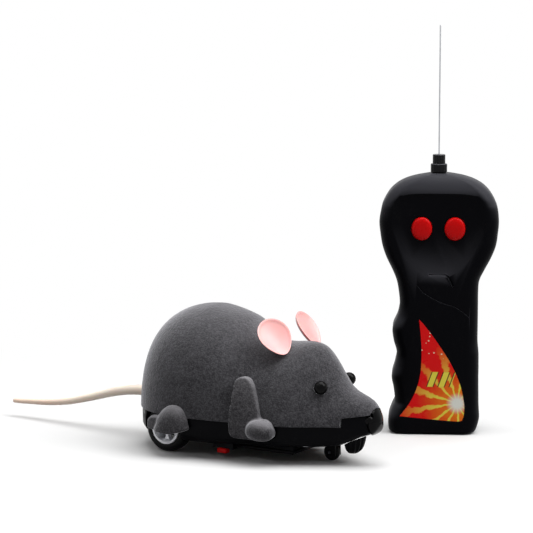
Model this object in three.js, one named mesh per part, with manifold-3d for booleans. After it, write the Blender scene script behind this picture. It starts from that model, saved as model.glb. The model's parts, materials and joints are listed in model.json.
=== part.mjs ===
// Remote control rat toy: a flocked rat on a battery powered chassis, and its upright radio handset.
// Millimetres, +Z up. In the rat's own frame x runs forward from the rear axle, y to the rat's left
// and z up from the floor. The handset has a frame of its own: x across its front, y from its front
// to its back, z up from its foot.
import * as THREE from 'three';
import { mergeVertices } from 'three/addons/utils/BufferGeometryUtils.js';
import Module from 'manifold-3d';

const wasm = await Module();
wasm.setup();

// Clearances
const seatGap = 0.3; // between a piece and what it is glued, clipped or screwed to
const runGap = 0.35; // round a piece that turns or slides
const overrun = 6; // how far a cut runs past the wall that it passes

// The rat's body
const bodyRadius = 32.6; // the rear of the body is round in plan
const bodyCentreX = 8.2;
const noseReach = 97;
const noseTipHeight = 20;
const backHeight = 64.6;
const seamHeight = 16.2; // of the body's widest line, above the rear axle
const seamTilt = THREE.MathUtils.degToRad(2);
const partingHeight = 18.3; // of the line where shell and chassis meet
const partingTilt = THREE.MathUtils.degToRad(-0.35);
const bellyHeight = 5;
const shellWall = 1.8;
const chassisWall = 1.6;
const chassisInset = 0.7; // the chassis stands in from the flocked shell
const bodyRing = 24; // points round the body
const innerRing = 12; // and round its hollow

// Place at a share of the way from the body's centre to the nose
function alongBody(share) {
  return bodyCentreX + (noseReach - bodyCentreX) * share;
}

// Front of the body: share of the way from its centre to the nose, then shares of the body radius,
// of the back's height over the seam, of the belly's depth under it, and how the section narrows
const frontShares = [
  [0.065, 0.995, 0.995, 1.05, 0],
  [0.2, 0.952, 0.926, 1.07, 0.02],
  [0.267, 0.918, 0.849, 1.07, 0.04],
  [0.334, 0.862, 0.767, 1.07, 0.07],
  [0.39, 0.802, 0.709, 1.07, 0.11],
  [0.446, 0.752, 0.692, 1.07, 0.15],
  [0.49, 0.752, 0.69, 1.07, 0.17],
  [0.53, 0.768, 0.695, 1.065, 0.19],
  [0.572, 0.754, 0.7, 1.06, 0.23],
  [0.614, 0.706, 0.697, 1.055, 0.28],
  [0.67, 0.62, 0.663, 1.05, 0.35],
  [0.726, 0.518, 0.564, 1.05, 0.41],
  [0.771, 0.436, 0.444, 1.035, 0.41],
  [0.805, 0.388, 0.352, 1, 0.35],
  [0.838, 0.346, 0.295, 0.88, 0.26],
  [0.872, 0.308, 0.26, 0.75, 0.18],
  [0.917, 0.26, 0.224, 0.62, 0.14],
  [0.95, 0.214, 0.182, 0.54, 0.1],
  [0.982, 0.13, 0.094, 0.34, 0.05],
];
const rearSteps = 7;
const rearFullness = 0.72; // below 1, the back rises steeply behind
const backSquareness = 2.25; // exponent of the section over the seam
const bellySquareness = 5; // exponent of the boxy section under the seam

// The black muzzle rises over the parting line in front
const lipStart = alongBody(0.8335);
const lipRise = 2.6;
const lipTilt = THREE.MathUtils.degToRad(9);
const noseBallX = alongBody(0.984);
const noseBallHeight = 19.6;
const noseBallRadius = 6.3;
const nostrilRadius = 1.1;
const nostrilSpread = 3.6;
const nostrilRise = 2.4; // over the nose tip
const muzzleSolidFrom = alongBody(0.797);

// Fluted jaw under the muzzle
const jawX = alongBody(0.8356);
const jawReach = 5.7;
const jawTop = 14;
const jawBottom = 4.5;
const jawFlutes = 14;
const fluteShare = 0.06;
const jawProfileShares = [[0, 0.3], [0.1, 0.56], [0.36, 0.82], [0.65, 0.95], [1, 1]];

// Ears and eyes
const earLength = 18.5;
const earWidth = 16.4;
const earThickness = 1.2;
const earDish = 1.9; // depth of the hollow
const earFootLeftX = alongBody(0.543);
const earFootRightX = alongBody(0.533);
const earFootSpread = bodyRadius * 0.396;
const earFootHeight = seamHeight + (backHeight - seamHeight) * 0.655;
const earLean = THREE.MathUtils.degToRad(37);
const earTurnLeft = THREE.MathUtils.degToRad(6); // the two ears don't stand quite alike
const earTurnRight = THREE.MathUtils.degToRad(37);
const earSplay = THREE.MathUtils.degToRad(16);
const eyeRadius = 3;
const eyeX = alongBody(0.732);
const eyeSpread = bodyRadius * 0.375;
const eyeHeight = seamHeight + (backHeight - seamHeight) * 0.382;

// Tail
const tailRootRadius = 2.6;
const tailTipRadius = 1.1;
const tailLength = 84.4;
const tailRootHeight = 20.8;
const tailTipHeight = 7.4;
const tailShoulder = 1.3; // wider than the root, inside the shell
const tailShoulderLength = 2;
const tailShoulderStand = 1.2;
// Share of the tail's length, then of its whole drop
const tailDropShares = [
  [0, 0], [0.1, 0.01], [0.18, 0.06], [0.25, 0.14], [0.32, 0.25], [0.39, 0.38], [0.46, 0.51], [0.53, 0.63],
  [0.6, 0.74], [0.67, 0.82], [0.74, 0.88], [0.8, 0.92], [0.87, 0.95], [0.94, 0.98], [1, 1],
];
const tailRing = 8;

// Front legs, as outlines seen from the side
const legLeft = 37.1;
const legWidth = 22.5;
const legBottom = 11.2;
const legHeight = 26.9;
const legProud = 2.6; // over the body
const legDepth = 16.6; // inside the body's radius
const legStand = 1.4;
const legInner = bodyRadius - legDepth; // from the rat's middle
const legOuter = bodyRadius + legStand;
const legRound = 2.4;
const legShares = [
  [0.045, 0.93], [0.1, 0.987], [0.17, 1], [0.25, 0.97], [0.335, 0.87], [0.405, 0.71],
  [0.475, 0.52], [0.572, 0.36], [0.71, 0.35], [0.83, 0.31], [0.9, 0.228], [0.93, 0.14],
  [0.88, 0.065], [0.74, 0.014], [0.519, 0], [0.266, 0.007], [0.084, 0.025], [0.014, 0.105],
  [0, 0.24], [0.01, 0.45], [0.035, 0.73],
];
const pawX = 51.2;
const pawSink = 5.4;
const pawMiddle = bodyRadius - pawSink; // from the rat's middle
const pawHeight = 15.8;
const pawLong = 6.7;
const pawWide = 4.8;
const pawHigh = 4.8;

// Hind feet, domed over the rear wheels, each with a lobe behind it
const footLeft = 0.2;
const footWidth = 17.4;
const footBottom = 10.9;
const footHeight = 13.1;
const footProud = 4.5;
const footDepth = 12.6;
const footStand = 6.2;
const footInner = bodyRadius - footDepth; // from the rat's middle
const footOuter = bodyRadius + footStand;
const footRound = 5;
const footShares = [
  [0.064, 0.298], [0.094, 0.473], [0.168, 0.649], [0.267, 0.802], [0.406, 0.939], [0.55, 1],
  [0.693, 0.985], [0.822, 0.878], [0.896, 0.718], [0.955, 0.527], [0.985, 0.321], [1, 0.198],
  [0.847, 0.099], [0.644, 0.015], [0.431, 0], [0.208, 0.008], [0, 0.038],
];
const lobeLeft = -6.3;
const lobeWidth = 12.8;
const lobeBottom = 11.2;
const lobeHeight = 7.1;
const lobeProud = 2;
const lobeStand = 4.4;
const lobeOuter = bodyRadius + lobeStand;
const lobeShares = [
  [0.047, 0], [0, 0.31], [0.039, 0.648], [0.164, 0.873], [0.336, 1], [0.539, 0.986], [0.883, 0.817],
  [1, 0.465], [0.922, 0.141], [0.492, 0.028],
];

// Rear wheels and axle
const tyreRadius = 10.6;
const tyreWidth = 7.6;
const tyreMiddle = 22.3; // from the rat's middle
const hubRadius = 7;
const hubDish = 1.6;
const hubRim = 1.1;
const hubWidth = 6.4;
const spokeHoleRadius = 1.9;
const spokeHoles = 5;
const axleRadius = 1.25;
const wheelSides = 20;
const smallSides = 12;
const spokeSides = 6;
const wellGap = 1.2; // between the tyre and its well

// Gear train, from the motor down to the axle
const toothPitch = 0.5; // module
const toothAddendum = 0.45;
const toothDedendum = 0.6;
const axleTeeth = 14;
const idlerSmallTeeth = 14;
const idlerLargeTeeth = 20;
const pinionTeeth = 8;
const meshBacklash = 0.2;
const idlerAngle = THREE.MathUtils.degToRad(115);
const pinionAngle = THREE.MathUtils.degToRad(75);
const driveStart = 8.4; // y of the axle gear's face
const driveWidth = 2.6;
const gearSpacing = 0.8;
const gearWellDepth = 0.9; // of the dip in the chassis floor under the axle gear
const idlerShaftRadius = 1;
const framePlate = 1.4;
const frameLeft = -10.6;
const frameRight = 5.6;
const frameBottom = 8.6;
const frameTop = 28.6;
const motorRadius = 10;
const motorHeight = 15.1;
const motorLength = 22.2;
const motorShaftRadius = 0.75;
const motorBoss = 3;
const motorBossLength = 1.4;

// Castor
const casterX = alongBody(0.7342);
const casterTrail = 1.6;
const casterWheelRadius = 3.8;
const casterWheelWidth = 2.8;
const casterPinRadius = 0.7;
const forkCheek = 0.9;
const forkDiscRadius = 5;
const forkDisc = 1.3;
const pocketRadius = 6.2;
const pocketHeight = 12.6;
const pocketWall = 1.2;
const swivelPinRadius = 1.3;
const swivelHeadRadius = 2.1;
const swivelHead = 0.9;
const casterTurn = THREE.MathUtils.degToRad(45); // how far the fork swivels, to one side
const stopRadius = 0.6; // of the peg that the fork's disc turns against
const stopReach = 4.1; // from the swivel
const stopShares = [[1, 0], [1, 0.33], [1, 0.67], [1, 1]];

// Battery bay in the chassis, with three small cells side by side
const cellRadius = 5.2;
const cellLength = 44.4;
const cellNubRadius = 1.9;
const cellNub = 0.9;
const cellCount = 3;
const bayStart = 12;
const contactThickness = 0.5;
const contactSpring = 1.8;
const bayWall = 1.3;
const doorThickness = 1.5;
const doorLip = 1.4;
const doorHeight = 4.7; // of its outer face over the floor

// Receiver board on the bay's roof
const boardThickness = 1.4;
const boardLength = 34;
const boardWidth = 25;
const boardStart = 15;
const boardPost = 1.6;
const canRadius = 2.5;
const canHeight = 6;
const chipLength = 10;
const chipWidth = 5.2;
const chipHeight = 2;
const coilSize = 5.5;

// Power switch
const switchX = 29.3;
const switchSide = 22.9; // from the rat's middle, on its right
const switchLength = 8.6;
const switchDepth = 3.4;
const switchHeight = 3.6;
const knobLength = 4.8;
const knobDepth = 3;
const knobTravel = 2;
const knobStem = 1.6;
const knobFloorGap = 2.7; // from the floor
const switchPadHeight = 5.2; // of the pad's underside over the floor

// Screws
const screwRadius = 1.1;
const screwHeadRadius = 2.2;
const screwHeadHeight = 1.3;
const screwTubeRadius = 3.7;
const screwWeb = 1.2;
const screwRecess = 2.3; // from the belly to the screws' seats
const screwLength = 9;
const bossRadius = 2.9;
const bodyScrewPlaces = [[-15.5, 10.5], [-15.5, -10.5], [66.4, 13.8], [66.4, -13.8]];
const doorScrewLength = 6;
const doorScrewRadius = 1;
const doorScrewHead = 1.9;
const doorScrewHeadHeight = 0.9;
const doorTab = 7; // reach of the door's screwed tab in front of the bay
const doorTabWidth = 7;
const doorScrewTube = 3;
const doorScrewDepth = 7; // of the tube over the door

// Handset
const handsetX = 86.1;
const handsetY = 70.5;
const handsetTurn = THREE.MathUtils.degToRad(28.3);
const handsetHeight = 121.2;
const handsetHalfWidth = 27.6;
const handsetDepth = 26;
const handsetWall = 1.8;
const handsetEdge = 5.5; // how far the rounded edge draws in across the front
const handsetEdgeDepth = 7; // and from front to back
const handsetCrown = 12; // height of the rounded top
const handsetCrownDraw = 7.5;
const handsetFootRound = 1.4;
const handsetCornerSteps = 3;
const handsetInnerSteps = 1;
// Share of the height, then the left and right edges in shares of the half width
const handsetRowShares = [
  [0, -0.7, 0.54], [0.004, -0.76, 0.61], [0.014, -0.805, 0.668], [0.057, -0.812, 0.72],
  [0.097, -0.755, 0.715], [0.124, -0.708, 0.71], [0.172, -0.726, 0.707], [0.219, -0.762, 0.703],
  [0.266, -0.711, 0.703], [0.314, -0.679, 0.699], [0.361, -0.733, 0.68], [0.409, -0.751, 0.68],
  [0.456, -0.668, 0.68], [0.503, -0.635, 0.68], [0.55, -0.653, 0.68], [0.593, -0.69, 0.695],
  [0.634, -0.763, 0.778], [0.681, -0.864, 0.886], [0.727, -0.933, 0.964], [0.774, -0.969, 0.995],
  [0.82, -0.987, 1.01], [0.868, -0.955, 0.99], [0.891, -0.922, 0.956], [0.913, -0.871, 0.906],
  [0.937, -0.8, 0.832], [0.96, -0.69, 0.722], [0.978, -0.55, 0.582], [0.99, -0.39, 0.43],
  [0.997, -0.25, 0.29], [1, -0.16, 0.2],
];
const seamDepth = 13; // where the front and back shells meet
// Sunk panel round the buttons
const panelTop = 111.6;
const panelHeight = 35.6;
const panelHalfWidth = 19;
const panelSink = 1;
const panelShares = [
  [0.2, 0], [0.5, 0.1], [0.78, 0.28], [0.96, 0.52], [1, 0.72], [0.93, 0.9], [0.68, 0.985], [0, 1],
  [-0.68, 0.985], [-0.93, 0.9], [-1, 0.72], [-0.96, 0.52], [-0.78, 0.28], [-0.5, 0.1], [-0.2, 0],
];
const buttonDrop = 15.1; // under the panel's top
const buttonHeight = panelTop - buttonDrop;
const buttonSpread = 7.6;
const buttonRadius = 4.7;
const buttonStretchShare = 1.13; // taller than wide
const buttonProud = 1.9;
const buttonTravel = 0.9;
const buttonFlange = 1.2;
const buttonFlangeDepth = 1;
const buttonStemRadius = 1.5;
const buttonSides = 16;
const tactSize = 6;
const tactDepth = 3.4;
const tactPlungerRadius = 1.6;
const tactPlunger = 0.8;
const labelThickness = 0.3;
const labelSink = 0.6;
const labelLeft = -17.4;
const labelWidth = 30.4;
const labelBottom = 6.3;
const labelHeight = 48.4;
const labelShares = [
  [0, 0.042], [0.39, 0.021], [0.724, 0.004], [0.94, 0], [0.985, 0.03], [1, 0.07], [1, 0.18],
  [0.936, 0.362], [0.81, 0.543], [0.645, 0.712], [0.424, 0.904], [0.29, 1], [0.321, 0.818],
  [0.333, 0.649], [0.317, 0.466], [0.253, 0.307], [0.15, 0.172],
];

// Inside of the handset
const aaRadius = 7.1;
const aaLength = 49.6;
const aaNubRadius = 2.7;
const aaNub = 1;
const aaShift = 0.9; // the grip leans a little to this side at its waist
const wellBottom = 9.2;
const wellWall = 1.2;
const coverDepth = 2.3;
const coverBottom = 9.3;
const transmitterBottom = 79;
const transmitterHeight = 25.6;
const transmitterHalfWidth = 19;
const transmitterDepth = 10.8; // y of the board's front face
const postRadius = 2;
const shellScrewRadius = 0.9;
const shellScrewHead = 1.9;
const shellScrewHeadHeight = 1.3;
const shellScrewLength = 9;
const shellBossRadius = 2.7;
const shellScrewTube = 3.2;
const shellScrewSeat = 16.4; // y where the screws' heads rest
const shellScrewPlaces = [[-16, 108.4], [16, 108.4], [0.9, 73.6]];

// Antenna
const collarLower = 4;
const collarUpper = 4.3;
const collarLowerRadius = 3.8;
const collarUpperRadius = 2.9;
const collarNeckRadius = 3;
const collarFlangeRadius = 3.9;
const collarFlange = 1;
const collarRibs = 14;
const collarRibShare = 0.05;
const antennaTop = 189.4;
const antennaRadius = 0.32;
const antennaSeat = 6;

// Finishes
function finish(colour, roughness, metalness = 0) {
  return new THREE.MeshStandardMaterial({ color: colour, roughness, metalness });
}

const flock = finish(0x47474b, 0.95);
const blackPlastic = finish(0x101013, 0.38);
const satinBlack = finish(0x141417, 0.5);
const glossBlack = finish(0x060607, 0.08);
const pinkVinyl = finish(0xf5aca6, 0.5);
const tailVinyl = finish(0xf2b296, 0.5);
const tyreRubber = finish(0x0e0e10, 0.8);
const hubPlastic = finish(0xcfd2d8, 0.3, 0.3);
const redPlastic = finish(0xc41218, 0.35);
const steel = finish(0xb9bcc0, 0.25, 1);
const whitePlastic = finish(0xe8e6df, 0.45);
const boardGreen = finish(0x1f5a35, 0.5);
const labelPaper = finish(0xd8301c, 0.4);
const cellSleeve = finish(0x2d4a7c, 0.4);

// Solids
function solidOf(geometry) {
  const bare = geometry.clone();
  bare.deleteAttribute('normal');
  bare.deleteAttribute('uv');
  const merged = mergeVertices(bare);
  const mesh = new wasm.Mesh({
    numProp: 3,
    vertProperties: Float32Array.from(merged.attributes.position.array),
    triVerts: Uint32Array.from(merged.index.array),
  });
  return new wasm.Manifold(mesh);
}

function geometryOf(solid) {
  const mesh = solid.getMesh();
  const geometry = new THREE.BufferGeometry();
  geometry.setAttribute('position', new THREE.BufferAttribute(Float32Array.from(mesh.vertProperties), 3));
  geometry.setIndex(new THREE.BufferAttribute(Uint32Array.from(mesh.triVerts), 1));
  return geometry;
}

function piece(group, name, solid, material) {
  const mesh = new THREE.Mesh(geometryOf(solid), material);
  mesh.name = name;
  group.add(mesh);
  return mesh;
}

function box(x0, x1, y0, y1, z0, z1) {
  const geometry = new THREE.BoxGeometry(x1 - x0, y1 - y0, z1 - z0);
  geometry.translate((x0 + x1) / 2, (y0 + y1) / 2, (z0 + z1) / 2);
  return solidOf(geometry);
}

// A rod along x, y or z, from one station to another
function rod(axis, radius, from, to, a, b, sides = smallSides) {
  const geometry = new THREE.CylinderGeometry(radius, radius, to - from, sides);
  const middle = (from + to) / 2;
  if (axis === 'x') {
    geometry.rotateZ(-Math.PI / 2);
    geometry.translate(middle, a, b);
  } else if (axis === 'y') {
    geometry.translate(a, middle, b);
  } else {
    geometry.rotateX(Math.PI / 2);
    geometry.translate(a, b, middle);
  }
  return solidOf(geometry);
}

// A turned piece about a line along y through (x, z), from a profile of [radius, y]
function turned(profile, x, z, sides = wheelSides) {
  const geometry = new THREE.LatheGeometry(profile.map(([r, y]) => new THREE.Vector2(r, y)), sides);
  geometry.translate(x, 0, z);
  return solidOf(geometry);
}

// A skin through rings of points, closed by a point at each end
function loft(tail, rings, head) {
  const around = rings[0].length;
  const points = [tail, ...rings.flat(), head];
  const at = (ring, k) => 1 + ring * around + (k % around);
  const last = rings.length - 1;
  const faces = [];
  for (let k = 0; k < around; k += 1) {
    faces.push(0, at(0, k + 1), at(0, k));
    for (let ring = 0; ring < last; ring += 1) {
      faces.push(at(ring, k), at(ring, k + 1), at(ring + 1, k));
      faces.push(at(ring, k + 1), at(ring + 1, k + 1), at(ring + 1, k));
    }
    faces.push(points.length - 1, at(last, k), at(last, k + 1));
  }
  const geometry = new THREE.BufferGeometry().setFromPoints(points);
  geometry.setIndex(faces);
  return solidOf(geometry);
}

function join(solids) {
  return solids.reduce((whole, solid) => whole.add(solid));
}

// A flat outline, raised along its own z
function raised(shape, depth, curveSegments = 1, bevel = {}) {
  const options = { depth, curveSegments, bevelEnabled: false, steps: 1, ...bevel };
  return new THREE.ExtrudeGeometry(shape, options);
}

function outline(shares, left, width, bottom, height) {
  const points = shares.map(([a, b]) => new THREE.Vector2(left + a * width, bottom + b * height));
  const shape = new THREE.Shape();
  shape.moveTo(points[0].x, points[0].y);
  shape.splineThru([...points.slice(1), points[0]]);
  return shape;
}

// A cushioned slab: an outline seen from the side, between two stations of y, rounded at both
function cushion(shares, left, width, bottom, height, from, to, round, steps = 2) {
  const points = outline(shares, left, width, bottom, height).getPoints(1).slice(0, -1);
  const centreX = left + width / 2;
  const centreZ = bottom + height / 2;
  const reach = Math.min(width, height) / 2;
  const ringAt = (y, drawn) => points.map((point) => {
    const share = 1 - drawn / reach;
    return new THREE.Vector3(
      centreX + (point.x - centreX) * share, y, centreZ + (point.y - centreZ) * share,
    );
  });
  const rings = [];
  for (let i = 0; i <= steps; i += 1) {
    const turn = (i / steps) * (Math.PI / 2);
    rings.push(ringAt(from + round * (1 - Math.sin(turn)), round * (1 - Math.cos(turn))));
  }
  rings.reverse();
  for (let i = 0; i <= steps; i += 1) {
    const turn = (i / steps) * (Math.PI / 2);
    rings.push(ringAt(to - round * (1 - Math.sin(turn)), round * (1 - Math.cos(turn))));
  }
  return loft(new THREE.Vector3(centreX, from, centreZ), rings, new THREE.Vector3(centreX, to, centreZ));
}

// Body form of the rat
function seamAt(x) {
  return seamHeight + x * Math.tan(seamTilt);
}

function bodyStations(inset) {
  const radius = bodyRadius - inset;
  const top = backHeight - seamHeight - inset;
  const belly = seamHeight - bellyHeight - inset;
  const stations = [];
  for (let i = 1; i <= rearSteps; i += 1) {
    const turn = (i / rearSteps) * (Math.PI / 2);
    const swell = Math.sin(turn);
    stations.push({
      x: bodyCentreX - radius * Math.cos(turn),
      width: radius * swell,
      top: top * swell ** rearFullness,
      belly: belly * Math.sqrt(swell),
      taper: 0,
    });
  }
  const reach = noseReach - inset - bodyCentreX;
  for (const [along, width, topShare, bellyShare, taper] of frontShares) {
    stations.push({
      x: bodyCentreX + along * reach,
      width: width * bodyRadius - inset,
      top: topShare * (backHeight - seamHeight) - inset,
      belly: bellyShare * (seamHeight - bellyHeight) - inset,
      taper,
    });
  }
  return stations;
}

// Height of the belly's outer face along the rat's middle
function bellyAt(x) {
  const depth = seamHeight - bellyHeight;
  if (x < bodyCentreX) {
    const back = (bodyCentreX - x) / bodyRadius;
    return seamAt(x) - depth * (1 - back * back) ** (1 / 4) + chassisInset;
  }
  const along = (x - bodyCentreX) / (noseReach - bodyCentreX);
  const next = frontShares.findIndex(([share]) => share >= along);
  const [from, , , low] = next > 0 ? frontShares[next - 1] : [0, 1, 1, 1];
  const [to, , , high] = frontShares[next];
  const share = low + ((high - low) * (along - from)) / (to - from);
  return seamAt(x) - share * depth + chassisInset;
}

function bodyRingAt(station, around) {
  const ring = [];
  const level = seamAt(station.x);
  for (let k = 0; k < around; k += 1) {
    const turn = (k / around) * Math.PI * 2;
    const across = Math.cos(turn);
    const up = Math.sin(turn);
    if (up >= 0) {
      const power = 2 / backSquareness;
      const high = up ** power;
      const y = station.width * Math.sign(across) * Math.abs(across) ** power * (1 - station.taper * high);
      ring.push(new THREE.Vector3(station.x, y, level + station.top * high));
    } else {
      const power = 2 / bellySquareness;
      const y = station.width * Math.sign(across) * Math.abs(across) ** power;
      ring.push(new THREE.Vector3(station.x, y, level - station.belly * Math.abs(up) ** power));
    }
  }
  return ring;
}

function bodyForm(inset, around = bodyRing) {
  const stations = bodyStations(inset);
  const rear = bodyCentreX - (bodyRadius - inset);
  const tail = new THREE.Vector3(rear, 0, seamAt(rear));
  const head = new THREE.Vector3(noseReach - inset, 0, noseTipHeight);
  return loft(tail, stations.map((station) => bodyRingAt(station, around)), head);
}

// Everything under the parting line, lowered by a gap, with the muzzle's rise in front
function underSeam(gap) {
  const reach = noseReach + bodyRadius;
  const slab = new THREE.BoxGeometry(reach * 2, reach * 2, reach);
  slab.translate(0, 0, -reach / 2);
  const plain = slab.clone();
  plain.rotateY(-partingTilt);
  plain.translate(0, 0, partingHeight - gap);
  const front = slab.clone();
  front.rotateY(-lipTilt);
  front.translate(0, 0, lipRise - gap);
  const rise = solidOf(front.translate(lipStart, 0, seamAt(lipStart)));
  const ahead = box(lipStart + gap, noseReach + overrun, -reach, reach, 0, backHeight);
  return solidOf(plain).add(rise.intersect(ahead));
}

const bodyOuter = bodyForm(0);
const bodyKeep = bodyForm(-seatGap); // what glued pieces stay out of
const rat = new THREE.Group();

// Rear wheels
const wheelClear = tyreRadius + wellGap;
const wheelInner = tyreMiddle - tyreWidth / 2;
const wheelOuter = tyreMiddle + tyreWidth / 2;

function wheelWell(side, grow) {
  const from = side > 0 ? wheelInner - runGap - grow : -bodyRadius - overrun;
  const to = side > 0 ? bodyRadius + overrun : -(wheelInner - runGap - grow);
  return rod('y', wheelClear + grow, from, to, 0, tyreRadius, wheelSides);
}

// Room for the wheel inside the shell and the foot, closed outside the wheel
function wheelRoom(side) {
  const reach = wheelOuter + runGap * 2;
  return rod('y', wheelClear, side > 0 ? 0 : -reach, side > 0 ? reach : 0, 0, tyreRadius, wheelSides);
}

for (const [name, side] of [['left', 1], ['right', -1]]) {
  const shoulder = tyreWidth / 8;
  const bore = hubRadius + seatGap;
  const half = tyreWidth / 2;
  const profile = [
    [bore, -half], [tyreRadius - shoulder * 1.5, -half], [tyreRadius - shoulder / 2, -half + shoulder],
    [tyreRadius, -half + shoulder * 3], [tyreRadius, half - shoulder * 3],
    [tyreRadius - shoulder / 2, half - shoulder], [tyreRadius - shoulder * 1.5, half], [bore, half],
    [bore, -half],
  ];
  const tyre = new THREE.LatheGeometry(profile.map(([r, y]) => new THREE.Vector2(r, y)), wheelSides);
  tyre.translate(0, side * tyreMiddle, tyreRadius);
  piece(rat, `tyre_${name}`, solidOf(tyre), tyreRubber);

  const face = half;
  const back = half - hubWidth;
  const blind = half - hubDish - hubRim;
  const turnedHub = new THREE.LatheGeometry([
    [0, blind], [axleRadius + seatGap, blind], [axleRadius + seatGap, back], [axleRadius * 2, back],
    [axleRadius * 2, blind - hubRim], [hubRadius - hubRim, blind - hubRim], [hubRadius - hubRim, back],
    [hubRadius, back], [hubRadius, face], [hubRadius - hubRim, face],
    [hubRadius - hubRim * 2, face - hubDish],
    [axleRadius * 2, face - hubDish], [axleRadius, face - hubDish / 2], [0, face - hubDish / 2],
  ].map(([r, y]) => new THREE.Vector2(r, y)), wheelSides);
  let hub = solidOf(turnedHub);
  for (let i = 0; i < spokeHoles; i += 1) {
    const turn = ((i + 0.25) / spokeHoles) * Math.PI * 2;
    const out = (hubRadius + axleRadius) / 2;
    const x = out * Math.cos(turn);
    const z = out * Math.sin(turn);
    hub = hub.subtract(rod('y', spokeHoleRadius, back - overrun, face + overrun, x, z, spokeSides));
  }
  const turnOut = side > 0 ? 0 : Math.PI;
  const placedHub = geometryOf(hub);
  placedHub.rotateZ(turnOut);
  placedHub.translate(0, side * tyreMiddle, tyreRadius);
  piece(rat, `wheel_hub_${name}`, solidOf(placedHub), hubPlastic);
}
const axleEnd = tyreMiddle + tyreWidth / 2 - hubDish - hubRim - seatGap;
piece(rat, 'rear_axle', rod('y', axleRadius, -axleEnd, axleEnd, 0, tyreRadius), steel);

// Gears
function gearShape(teeth, turn) {
  const pitchRadius = (teeth * toothPitch) / 2;
  const outer = pitchRadius + toothAddendum;
  const root = pitchRadius - toothDedendum;
  const step = (Math.PI * 2) / teeth;
  const toothShares = [[-0.33, 0], [-0.13, 1], [0.13, 1], [0.33, 0]];
  const shape = new THREE.Shape();
  for (let i = 0; i < teeth; i += 1) {
    for (const [share, high] of toothShares) {
      const angle = turn + (i + share) * step;
      const r = high ? outer : root;
      const x = r * Math.cos(angle);
      const z = r * Math.sin(angle);
      if (i === 0 && share === toothShares[0][0]) shape.moveTo(x, z);
      else shape.lineTo(x, z);
    }
  }
  return shape;
}

// A gear in the x-z plane between two stations of y, its first tooth turned up from x
function gear(teeth, turn, x, z, from, to) {
  const geometry = raised(gearShape(teeth, turn), to - from);
  geometry.rotateX(Math.PI / 2);
  geometry.translate(x, to, z);
  return solidOf(geometry);
}

const pitchOf = (teeth) => (teeth * toothPitch) / 2;
const idlerReach = pitchOf(axleTeeth) + pitchOf(idlerSmallTeeth) + meshBacklash;
const idlerX = idlerReach * Math.cos(idlerAngle);
const idlerZ = tyreRadius + idlerReach * Math.sin(idlerAngle);
const pinionReach = pitchOf(idlerLargeTeeth) + pitchOf(pinionTeeth) + meshBacklash;
const pinionX = idlerX + pinionReach * Math.cos(pinionAngle);
const pinionZ = idlerZ + pinionReach * Math.sin(pinionAngle);
const driveEnd = driveStart + driveWidth;
const secondStart = driveEnd + gearSpacing;
const secondEnd = secondStart + driveWidth;
const halfStep = (teeth) => Math.PI / teeth;

const axleGear = gear(axleTeeth, idlerAngle, 0, tyreRadius, driveStart, driveEnd)
  .subtract(rod('y', axleRadius + seatGap, driveStart - overrun, driveEnd + overrun, 0, tyreRadius));
piece(rat, 'axle_gear', axleGear, whitePlastic);

const idlerBore = rod(
  'y', idlerShaftRadius + runGap, driveStart - overrun, secondEnd + overrun, idlerX, idlerZ,
);
const idlerSmallTurn = idlerAngle + Math.PI + halfStep(idlerSmallTeeth);
const idlerGear = gear(idlerSmallTeeth, idlerSmallTurn, idlerX, idlerZ, driveStart, secondStart + seatGap)
  .add(gear(idlerLargeTeeth, pinionAngle, idlerX, idlerZ, secondStart, secondEnd))
  .subtract(idlerBore);
piece(rat, 'idler_gear', idlerGear, whitePlastic);

const pinionTurn = pinionAngle + Math.PI + halfStep(pinionTeeth);
const pinion = gear(pinionTeeth, pinionTurn, pinionX, pinionZ, secondStart, secondEnd)
  .subtract(rod(
    'y', motorShaftRadius + seatGap, secondStart - overrun, secondEnd + overrun, pinionX, pinionZ,
  ));
piece(rat, 'motor_pinion', pinion, steel);

// Gearbox frame: two plates joined over the top and behind
const innerPlate = driveStart - seatGap - framePlate;
const outerPlate = secondEnd + seatGap;
const frameEnd = outerPlate + framePlate;
const frameBlock = box(frameLeft, frameRight, innerPlate, frameEnd, frameBottom, frameTop);
const frameHollow = box(
  frameLeft - overrun, frameRight + overrun, innerPlate + framePlate, outerPlate,
  frameBottom - overrun, frameTop - framePlate,
);
const idlerHole = rod(
  'y', idlerShaftRadius + seatGap, innerPlate - overrun, frameEnd + overrun, idlerX, idlerZ,
);
const axleHole = rod('y', axleRadius + runGap, innerPlate - overrun, frameEnd + overrun, 0, tyreRadius);
const motorHole = rod(
  'y', motorBoss + seatGap, innerPlate - overrun, innerPlate + framePlate + overrun / 2, pinionX,
  pinionZ,
);
const frame = frameBlock.subtract(frameHollow).subtract(idlerHole).subtract(axleHole)
  .subtract(motorHole.intersect(box(
    -bodyRadius, bodyRadius, innerPlate - overrun, driveStart, 0, backHeight,
  )));
piece(rat, 'gearbox_frame', frame, whitePlastic);
piece(rat, 'idler_shaft', rod('y', idlerShaftRadius, innerPlate, frameEnd, idlerX, idlerZ), steel);

// Motor, a flat sided can with its boss in the frame's inner plate
const motorFace = innerPlate - seatGap;
const motorCan = rod('y', motorRadius, motorFace - motorLength, motorFace, pinionX, pinionZ, wheelSides)
  .intersect(box(
    -bodyRadius, bodyRadius, -bodyRadius, bodyRadius, pinionZ - motorHeight / 2,
    pinionZ + motorHeight / 2,
  ));
const motor = motorCan
  .add(rod('y', motorBoss, motorFace - seatGap, motorFace + motorBossLength, pinionX, pinionZ))
  .add(rod('y', motorShaftRadius, motorFace, secondEnd - seatGap, pinionX, pinionZ));
piece(rat, 'motor', motor, steel);

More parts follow.
